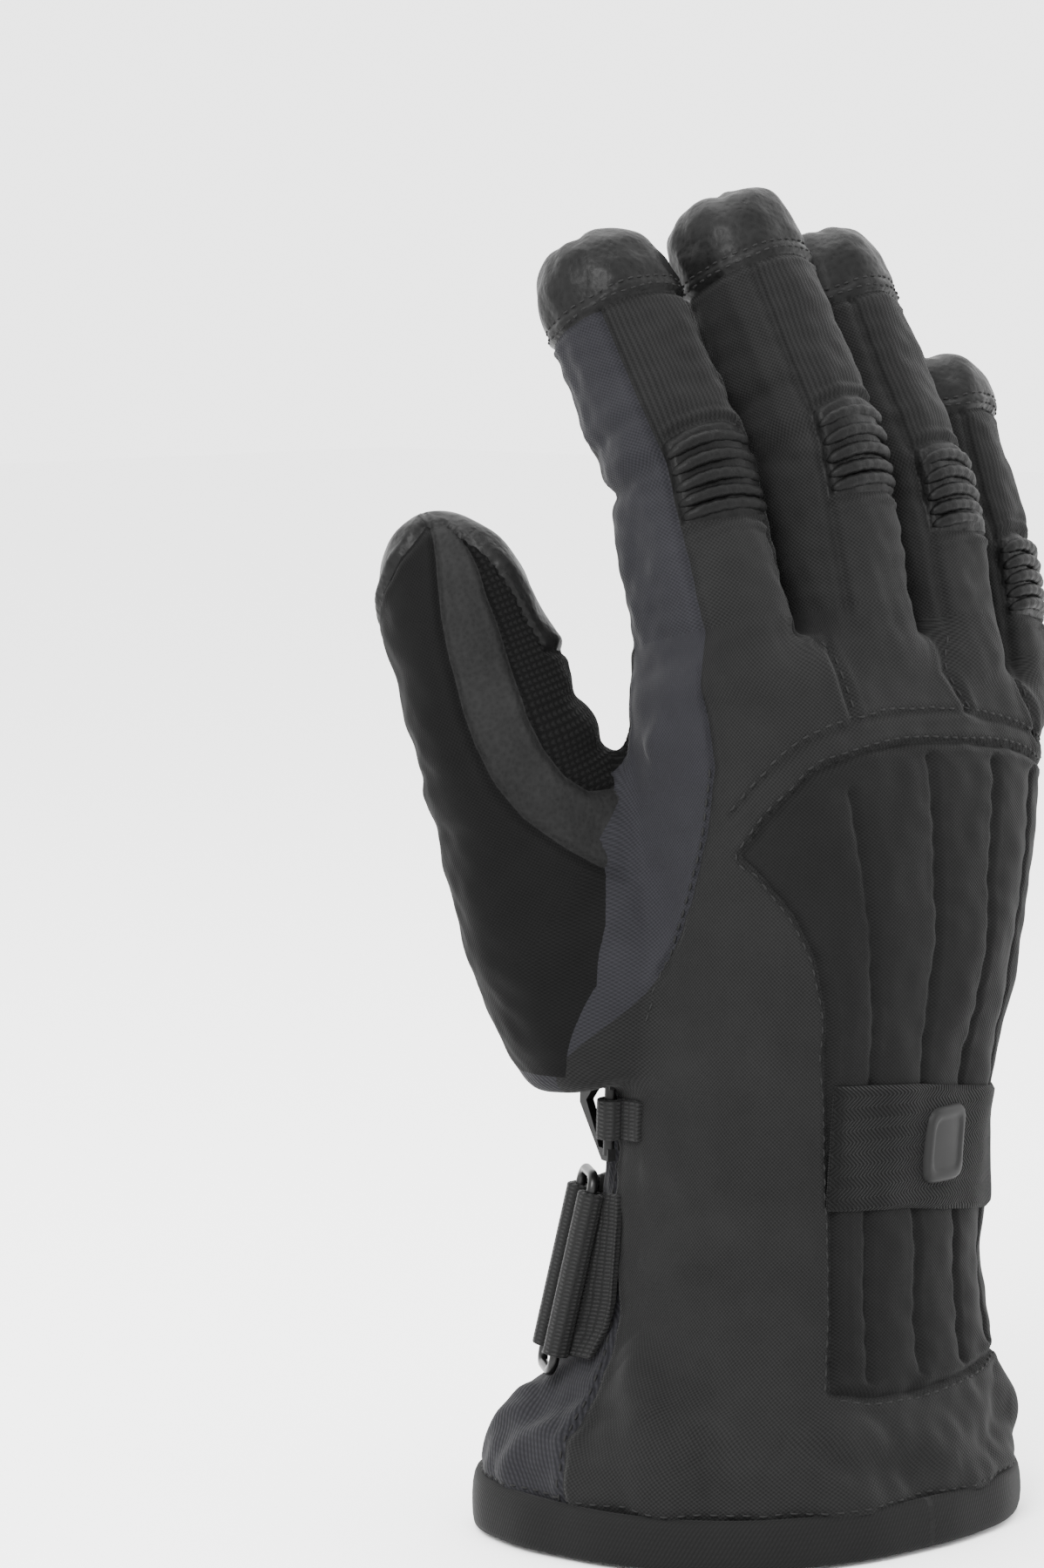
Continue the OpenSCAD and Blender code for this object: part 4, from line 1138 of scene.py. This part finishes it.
def ring_piece(name, profile, material, columns=240, ends=False):
    """A closed band round the body: profile(u) gives the (off, z) pairs of its cross-section."""
    us = np.linspace(0, 360, columns, endpoint=False)
    sections = np.array([profile(u) for u in us])           # columns, rows, 2
    rows = sections.shape[1]
    p = np.stack([oval(us, sections[:, k, 1], sections[:, k, 0]) for k in range(rows)], 0)
    faces = grid_faces(rows, columns, True)
    if not ends:
        last = np.arange(columns)
        a, b = (rows - 1) * columns + last, (rows - 1) * columns + (last + 1) % columns
        faces = np.concatenate([faces, np.stack([a, b, (last + 1) % columns, last], 1)])
    uv = np.stack([np.tile(us * ARC, rows), np.repeat(np.cumsum(np.full(rows, 1.1)), columns)], 1)
    return new_piece(name, p.reshape(-1, 3), faces, material, uv)


def hem_profile(u):
    """The hem binding's cross-section: a soft bulge outside, flat inside."""
    top = HEM_TOP + hem_rise(u) + 0.9
    pucker = 0.16 * math.sin(math.radians(u) * 17) + 0.12 * math.sin(math.radians(u) * 7 + 1)
    turns = np.linspace(0.5 * math.pi, -0.5 * math.pi, 9)
    low = 0.3
    middle, half = (top + low) / 2, (top - low) / 2
    outer = [(0.2 + (1.75 + pucker) * abs(math.cos(t)) ** 0.55, middle + half * math.sin(t)) for t in turns]
    inner = [(-3.2, low + 0.8), (-3.9, middle), (-3.4, top - 1.0)]
    return outer + inner


def lining_profile(heights, inset):
    return lambda u: [(-inset, z + (hem_rise(u) if z < 8 else 0)) for z in heights]


def make_hem_and_lining():
    """The rolled binding of the hem, and the lining seen through the cuff's mouth."""
    hem = ring_piece("hem_binding_roll", hem_profile, materials["binding"])
    attach(hem, CUFF)
    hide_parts("hem_binding")
    cuff = ring_piece("cuff_inner_lining", lining_profile([3, 8, 16, 26, 36, 46, 56, 66, 78, 90, 99], 3.6),
                      materials["lining"], 144, True)
    attach(cuff, CUFF)
    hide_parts("cuff_liner")
    hand = ring_piece("hand_inner_lining", lambda u: [(-3.6, 99), (-3.6, 106), (-3.6, 114), (-3.8, 122),
                                                      (-4.5, 132), (-7, 142), (-12, 150), (-19, 155),
                                                      (-27, 157.5)],
                      materials["lining"], 144, True)
    attach(hand, HAND)
    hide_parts("hand_liner")


def over_relief(us, zs, soften=60):
    """Offsets that rest on the seams and padding under a band, bridging the narrow hollows."""
    u, z = np.meshgrid(us, zs, indexing="ij")
    base = oval(u, z)
    off = body_relief(u.ravel(), z.ravel(), base).reshape(u.shape)
    top = off.copy()
    for _ in range(soften):
        padded = np.pad(top, 1, mode="edge")
        around = (padded[2:, 1:-1] + padded[:-2, 1:-1] + padded[1:-1, 2:] + padded[1:-1, :-2]) / 4
        top = np.maximum(0.5 * top + 0.5 * around, off)
    for _ in range(3):
        padded = np.pad(top, 1, mode="edge")
        top = (padded[2:, 1:-1] + padded[:-2, 1:-1] + padded[1:-1, 2:] + padded[1:-1, :-2]) / 4
    return top


def patch_piece(name, outer, inner, material, uv):
    """A thin closed slab between two grids of points."""
    rows, columns = outer.shape[:2]
    face = grid_faces(rows, columns)
    count = rows * columns
    edge = np.concatenate([np.arange(columns), np.arange(1, rows) * columns + columns - 1,
                           (rows - 1) * columns + np.arange(columns - 2, -1, -1),
                           np.arange(rows - 2, 0, -1) * columns])
    nxt = np.roll(edge, -1)
    sides = np.stack([edge, edge + count, nxt + count, nxt], 1)
    faces = np.concatenate([face, face[:, ::-1] + count, sides])
    return new_piece(name, np.concatenate([outer.reshape(-1, 3), inner.reshape(-1, 3)]), faces, material,
                     np.concatenate([uv.reshape(-1, 2)] * 2))


BAND_TOP = [(-31, 98.6), (-5, 97.4), (42, 92.5), (92, 90.5)]
BAND_H = 26.6
BAND_U = (-31, 92)
BADGE_GRID = 31
BADGE_AT, BADGE_HALF = (10.0, 83.4), (6.3, 8.3)


def make_band():
    """The elastic band over the back of the wrist, and the blank badge on it."""
    us = np.linspace(*BAND_U, 110)
    high = np.interp(us, *np.array(BAND_TOP).T)
    share = np.linspace(0, 1, 25)
    z = high[:, None] - BAND_H * (1 - share[None, :])
    flat_z = np.linspace(z.min(), z.max(), 50)
    flat = over_relief(us, flat_z)
    off = np.array([np.interp(z[i], flat_z, flat[i]) for i in range(len(us))])
    rim = np.minimum(np.minimum(share, 1 - share) * BAND_H, 1.2) / 1.2
    ends = np.minimum(np.minimum(us - BAND_U[0], BAND_U[1] - us) * ARC, 1.5) / 1.5
    lift = 1.25 * np.sqrt(np.clip(rim, 0.1, 1))[None, :] * np.sqrt(np.clip(ends, 0.12, 1))[:, None]
    ripple = 0.10 * np.sin(share * 5)[None, :] * np.sin(us * 0.17)[:, None]
    u = np.repeat(us[:, None], 25, 1)
    outer = oval(u, z, (off + lift + ripple).ravel()).reshape(*u.shape, 3)
    inner = oval(u, z, (off - 0.5).ravel()).reshape(*u.shape, 3)
    band = patch_piece("back_band_elastic", outer, inner, materials["band"], np.stack([u * ARC, z], -1))
    attach(band, CUFF)
    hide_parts("back_band")

    # the badge: a blank rounded rectangle with a raised rim
    t = np.linspace(-1, 1, BADGE_GRID)
    a, b = np.meshgrid(t, t, indexing="ij")
    u = BADGE_AT[0] + a * BADGE_HALF[0] / ARC
    z = BADGE_AT[1] + b * BADGE_HALF[1]
    band_off = np.array([[np.interp(z[i, j], flat_z, flat[np.abs(us - u[i, j]).argmin()])
                          for j in range(BADGE_GRID)] for i in range(BADGE_GRID)])
    corner = (np.abs(a) ** 5 + np.abs(b) ** 5) ** (1 / 5)
    pull = np.where(corner > 1, 1 / corner, 1.0)
    u, z = BADGE_AT[0] + (u - BADGE_AT[0]) * pull, BADGE_AT[1] + (z - BADGE_AT[1]) * pull
    reach = np.clip(corner, 0, 1)
    height = 1.9 - 1.3 * np.clip((reach - 0.88) / 0.12, 0, 1) ** 2 - 0.45 * smoothstep(0.74, 0.66, reach)
    level = band_off.mean() + 1.2
    outer = oval(u, z, (0.5 * band_off + 0.5 * level + height).ravel()).reshape(BADGE_GRID, BADGE_GRID, 3)
    inner = oval(u, z, (band_off + 0.3).ravel()).reshape(BADGE_GRID, BADGE_GRID, 3)
    badge = patch_piece("blank_badge", outer, inner, materials["badge"], np.stack([u * ARC, z], -1))
    attach(badge, CUFF)
    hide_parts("badge")


def around_bar(joint, turns, outward):
    """Rails of a webbing loop round a wire: a function of height for each turn, and its direction."""
    centre, axis = joint_at(joint), joint_axis(joint)
    out = unit(outward - axis * (outward @ axis))
    along = np.cross(axis, out)
    radius = WIRE_MM + PLAY_MM

    def rail(t):
        direction = math.cos(t) * along + math.sin(t) * out
        return lambda z, off: centre + axis * (z - centre[2]) / axis[2] + direction * (radius + off)
    return [rail(t) for t in turns]


def on_body(u, off):
    return lambda z, extra: oval(u, z, off + extra)[0]


def webbing(name, rails, zs, body, nodes):
    """Webbing along the rails: each gives the point at a height, some way out from its inner face."""
    t = WEBBING_MM
    section = [(zs[0] + 0.25, 0.0), (zs[0], 0.5 * t), (zs[0] + 0.25, t)]
    section += [(z, t) for z in np.linspace(zs[0] + 1.2, zs[1] - 1.2, 7)]
    section += [(zs[1] - 0.25, t), (zs[1], 0.5 * t), (zs[1] - 0.25, 0.0)]
    section += [(z, 0.0) for z in np.linspace(zs[1] - 1.2, zs[0] + 1.2, 7)]
    p = np.array([[rail(z, off) for z, off in section] for rail in rails])
    rows, columns = p.shape[:2]
    length = np.concatenate([[0], np.cumsum(np.linalg.norm(np.diff(p[:, 2], axis=0), axis=1))])
    uv = np.stack([np.repeat(length[:, None], columns, 1),
                   np.repeat(np.array([z for z, _ in section])[None], rows, 0)], -1)
    faces = [list(f) for f in grid_faces(rows, columns, True)]
    faces += [list(range(columns))[::-1], [(rows - 1) * columns + k for k in range(columns)]]
    obj = new_piece(name, p.reshape(-1, 3), faces, materials["webbing"], uv.reshape(-1, 2))
    bevel = obj.modifiers.new("round", "BEVEL")
    bevel.width, bevel.segments, bevel.limit_method = 0.2 * MM, 1, "ANGLE"
    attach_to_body(obj, body)
    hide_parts(*nodes)
    return obj


def make_webbing():
    """The strap, its folded tail, and the short webbing that holds the ring and the clip."""
    out1 = oval(-115, STRAP_MIDDLE_Z, 10)[0] - oval(-115, STRAP_MIDDLE_Z)[0]
    ring_at, tail_at = joint_at("ring_swing"), joint_at("strap_peel")
    ring_u, tail_u = (float(body_coordinates(p[None])[0][0]) % 360 for p in (ring_at, tail_at))
    # sewn in the far seam, it runs round the palm side and ends under the ring
    webbing("strap_webbing", [on_body(u, UNDER_OFF) for u in np.linspace(98, tail_u - 6, 60)], STRAP_Z, CUFF,
            ["strap_under"])
    # the free end comes round the ring's bar and is folded back
    out2 = oval(tail_u, STRAP_MIDDLE_Z, 10)[0] - oval(tail_u, STRAP_MIDDLE_Z)[0]
    turns = np.radians(np.linspace(90, -240, 26))
    loop = around_bar("strap_peel", turns, out2)
    approach = [on_body(u, off) for u, off in zip(np.linspace(160, tail_u - 14, 36), np.full(36, TAIL_OFF))]
    webbing("strap_folded_tail", approach + [on_body(tail_u - 9, TAIL_OFF + 0.7)] + loop, TAB_Z, "strap_tail",
            ["strap_tail"])
    # the short webbing that holds the ring, and the one that holds the clip
    loop = around_bar("ring_swing", np.radians(np.linspace(240, -150, 26)), out1)
    anchor = [on_body(u, UNDER_OFF) for u in np.linspace(ring_u + 9, 252, 8)]
    webbing("ring_anchor_webbing", loop + anchor, TAB_Z, CUFF, ["webbing_tabs"])
    clip_at = joint_at("clip_swivel")
    clip_u = float(body_coordinates(clip_at[None])[0][0]) % 360
    outward = oval(clip_u, CLIP_Z, 10)[0] - oval(clip_u, CLIP_Z)[0]
    loop = around_bar("clip_swivel", np.radians(np.linspace(240, -150, 22)), outward)
    tab = [on_body(u, UNDER_OFF + 0.6) for u in np.linspace(clip_u + 5, clip_u + 12, 6)]
    webbing("clip_webbing_tab", loop + tab,
            (clip_at[2] - CLIP_TAB_HALF, clip_at[2] + CLIP_TAB_HALF), CUFF, [])


def keep_wire_parts():
    """The ring and the clip stay as the CAD has them, with their own finish."""
    for node, material in (("slider_ring", "wire"), ("clip_hook", "clip")):
        obj = frame["nodes"][node]
        if not obj.material_slots:
            obj.data.materials.append(None)
        for slot in obj.material_slots:
            slot.material = materials[material]


# ---------------------------------------------------------------- stitches

def along_points(points, step):
    points = np.asarray(points, float)
    length = np.concatenate([[0], np.cumsum(np.linalg.norm(np.diff(points, axis=0), axis=1))])
    at = np.arange(step / 2, length[-1], step)
    return np.stack([np.interp(at, length, points[:, k]) for k in range(points.shape[1])], 1)


def smooth_line(points, n=200):
    points = np.asarray(points, float)
    t = np.arange(len(points))
    return np.stack([hermite(np.linspace(0, t[-1], n), t, points[:, k]) for k in range(2)], 1)


def body_line(points, aside=0.0):
    """A run of points on the body, moved aside to the left of its own direction."""
    flat = smooth_line(points) * [ARC, 1]
    d = np.gradient(flat, axis=0)
    d /= np.maximum(np.linalg.norm(d, axis=1, keepdims=True), 1e-6)
    flat = flat + aside * np.stack([-d[:, 1], d[:, 0]], 1)
    return oval(flat[:, 0] / ARC, flat[:, 1])


STITCH_MM, STITCH_GAP_MM, THREAD_MM = 2.0, 3.1, 0.28


def stitches(name, line, segment, tree, length=STITCH_MM, gap=STITCH_GAP_MM, radius=THREAD_MM):
    """A run of short threads along a line, each laid on the nearest point of the skin."""
    centres = along_points(line, gap)
    ahead = np.gradient(centres, axis=0)
    verts, faces = [], []
    sides, rings = 6, [(-0.5, 0.3), (-0.35, 0.9), (0.0, 1.0), (0.35, 0.9), (0.5, 0.3)]
    for c, d in zip(centres, ahead):
        hit, normal, _, distance = tree.find_nearest(Vector(c))
        if hit is None or distance > 7:
            continue
        c, normal = np.array(hit), np.array(normal)
        d = unit(d - normal * (d @ normal))
        across = np.cross(normal, d)
        start = len(verts)
        for share, size in rings:
            sink = 0.35 * radius - 2.4 * radius * (2 * abs(share)) ** 3 * 0.5
            for k in range(sides):
                t = 2 * math.pi * k / sides
                verts.append(c + d * share * length + normal * (sink + math.sin(t) * radius * size)
                             + across * math.cos(t) * radius * size)
        for r in range(len(rings) - 1):
            for k in range(sides):
                a, b = start + r * sides + k, start + r * sides + (k + 1) % sides
                faces.append([a, a + sides, b + sides, b])
        faces.append([start + k for k in range(sides)])
        faces.append([start + (len(rings) - 1) * sides + k for k in range(sides)][::-1])
    if not verts:
        return
    obj = new_piece(name, np.array(verts), faces, materials["thread"])
    attach(obj, segment)


STITCH_SPLIT_Z = 102


def make_stitches(skin):
    """Threads laid on the skin along its seams."""
    tree = BVHTree.FromPolygons(skin.pos.tolist(), skin.tris.tolist())
    us = np.linspace(-178, 178, 300)
    stitches("hem_stitches", oval(us, HEM_TOP + 1.7 + hem_rise(us)), CUFF, tree, gap=3.4)
    closed = INSERT + INSERT[:1]
    for name, points, aside in (("insert", closed, 1.3), ("side_seam", SIDE_SEAM[3:], -1.3)):
        line = body_line(points, aside)
        for part, keep in ((CUFF, line[:, 2] < STITCH_SPLIT_Z), (HAND, line[:, 2] >= STITCH_SPLIT_Z)):
            breaks = np.nonzero(np.diff(keep))[0] + 1
            for k, (run, flag) in enumerate(zip(np.split(line, breaks), np.split(keep, breaks))):
                if flag[0] and len(run) > 3:
                    stitches(f"{name}_stitches_{part}_{k}", run, part, tree)
    stitches("yoke_stitches", body_line(YOKE_LINE, 1.2), HAND, tree)
    for k, line in enumerate(YOKE_SEAMS):
        stitches(f"yoke_seam_stitches_{k}", body_line(line, 1.1), HAND, tree)
    for digit in DIGITS:
        cap = digit.length + digit.upper - CAP_LENGTH[digit.name]
        ang = np.linspace(-128, 128, 80)
        for k, down in enumerate((1.5, 3.3)):
            stitches(f"{digit.name}_cap_stitches_{k}",
                     digit.world(ang, cap - finger_bow(ang) * 0.6 + down, 0.3),
                     digit.name + "_upper", tree, 1.5, 2.3, 0.24)


ROLL_MM, ROLL_SIDES, ROLL_STEPS = 1.62, 12, 26


def make_rib_rolls():
    """The knuckle pads' sewn rolls, side by side across the back of each finger."""
    for digit in DIGITS:
        low, high = digit.length - RIB_BELOW + 0.9, digit.length + RIB_ABOVE - 0.9
        pitch = (high - low) / RIB_COUNT
        verts, faces, uv = [], [], []
        for k in range(RIB_COUNT):
            ang = np.linspace(-BACK_EDGE + 3, BACK_EDGE - 3, ROLL_STEPS)
            s = low + (k + 0.5) * pitch - finger_bow(ang)
            size = np.sqrt(np.clip(1 - np.abs(np.linspace(-1, 1, ROLL_STEPS)) ** 7, 0.03, 1))
            size = size * (1 + 0.05 * np.sin(np.arange(ROLL_STEPS) * 1.7 + k * 2.1))
            middle = digit.world(ang, s, 0.15)
            outward = digit.world(ang, s, 1.15) - middle
            outward /= np.linalg.norm(outward, axis=1, keepdims=True)
            along = unit(digit.high_axes[2] + digit.low_axes[2])
            up = along - outward * (outward @ along)[:, None]
            up /= np.linalg.norm(up, axis=1, keepdims=True)
            start = len(verts)
            for r in range(ROLL_STEPS):
                for q in range(ROLL_SIDES):
                    t = 2 * math.pi * q / ROLL_SIDES
                    verts.append(middle[r] + size[r] * (math.cos(t) * pitch * 0.52 * up[r]
                                                        + math.sin(t) * ROLL_MM * outward[r]))
                    uv.append((ang[r] * FINGER_ARC, s[r] + math.cos(t) * pitch * 0.5))
            faces += [[int(v) + start for v in f] for f in grid_faces(ROLL_STEPS, ROLL_SIDES, True)]
            faces += [[start + q for q in range(ROLL_SIDES)][::-1],
                      [start + (ROLL_STEPS - 1) * ROLL_SIDES + q for q in range(ROLL_SIDES)]]
        obj = new_piece(digit.name + "_rib_rolls", np.array(verts), faces, materials["rib"], np.array(uv))
        attach(obj, digit.name + "_upper")


GRID_MM = 0.85
materials = make_materials()
skin = Skin(GRID_MM)
labels, names = cut_panels(skin)
make_panels(skin, labels, names, materials)
make_rib_rolls()
make_hem_and_lining()
make_band()
make_webbing()
keep_wire_parts()
make_stitches(skin)

# ---------------------------------------------------------------- floor, lights, camera
CAMERA_AZ, CAMERA_EL, CAMERA_M = -47.0, 5.5, 1.3
HEIGHT_M = 0.3348       # what the picture's height covers at the glove
AIM = (PLACE[0] * MM, PLACE[1] * MM, 0.150)
ASIDE_M, RAISE_M = -0.0485, 0.008


def make_camera():
    az, el = math.radians(CAMERA_AZ), math.radians(CAMERA_EL)
    back = Vector((math.sin(az) * math.cos(el), -math.cos(az) * math.cos(el), math.sin(el)))
    rotation = back.to_track_quat("Z", "Y")
    right, up = rotation @ Vector((1, 0, 0)), rotation @ Vector((0, 1, 0))
    data = bpy.data.cameras.new("camera")
    data.sensor_fit = "VERTICAL"
    data.sensor_height = 36
    data.lens = 36 / 2 / (HEIGHT_M / 2 / CAMERA_M)
    camera = bpy.data.objects.new("camera", data)
    camera.rotation_mode = "QUATERNION"
    camera.rotation_quaternion = rotation
    camera.location = Vector(AIM) + back * CAMERA_M + right * ASIDE_M + up * RAISE_M
    bpy.context.scene.collection.objects.link(camera)
    bpy.context.scene.camera = camera


def area_light(name, at, aim, size, watts):
    data = bpy.data.lights.new(name, "AREA")
    data.size = size
    data.energy = watts
    light = bpy.data.objects.new(name, data)
    light.location = at
    light.rotation_euler = (Vector(aim) - Vector(at)).to_track_quat("-Z", "Y").to_euler()
    bpy.context.scene.collection.objects.link(light)


def make_stage():
    bpy.ops.mesh.primitive_plane_add(size=8, location=(0, 0, -0.0005))
    floor = bpy.context.object
    floor.name = "floor"
    mat = bpy.data.materials.new("floor")
    mat.use_nodes = True
    shader = mat.node_tree.nodes["Principled BSDF"]
    shader.inputs["Base Color"].default_value = (0.95, 0.95, 0.95, 1)
    shader.inputs["Roughness"].default_value = 0.9
    floor.data.materials.append(mat)
    world = bpy.data.worlds.new("studio")
    world.use_nodes = True
    world.node_tree.nodes["Background"].inputs["Color"].default_value = (1, 1, 1, 1)
    world.node_tree.nodes["Background"].inputs["Strength"].default_value = 3.4
    bpy.context.scene.world = world
    area_light("key", (-1.3, -0.5, 1.1), (0, 0, 0.15), 0.6, 60)
    area_light("fill", (1.3, -0.9, 0.8), (0, 0, 0.15), 1.2, 10)
    area_light("top", (0.1, 0.3, 1.5), (0, 0, 0.15), 1.0, 22)


make_camera()
make_stage()
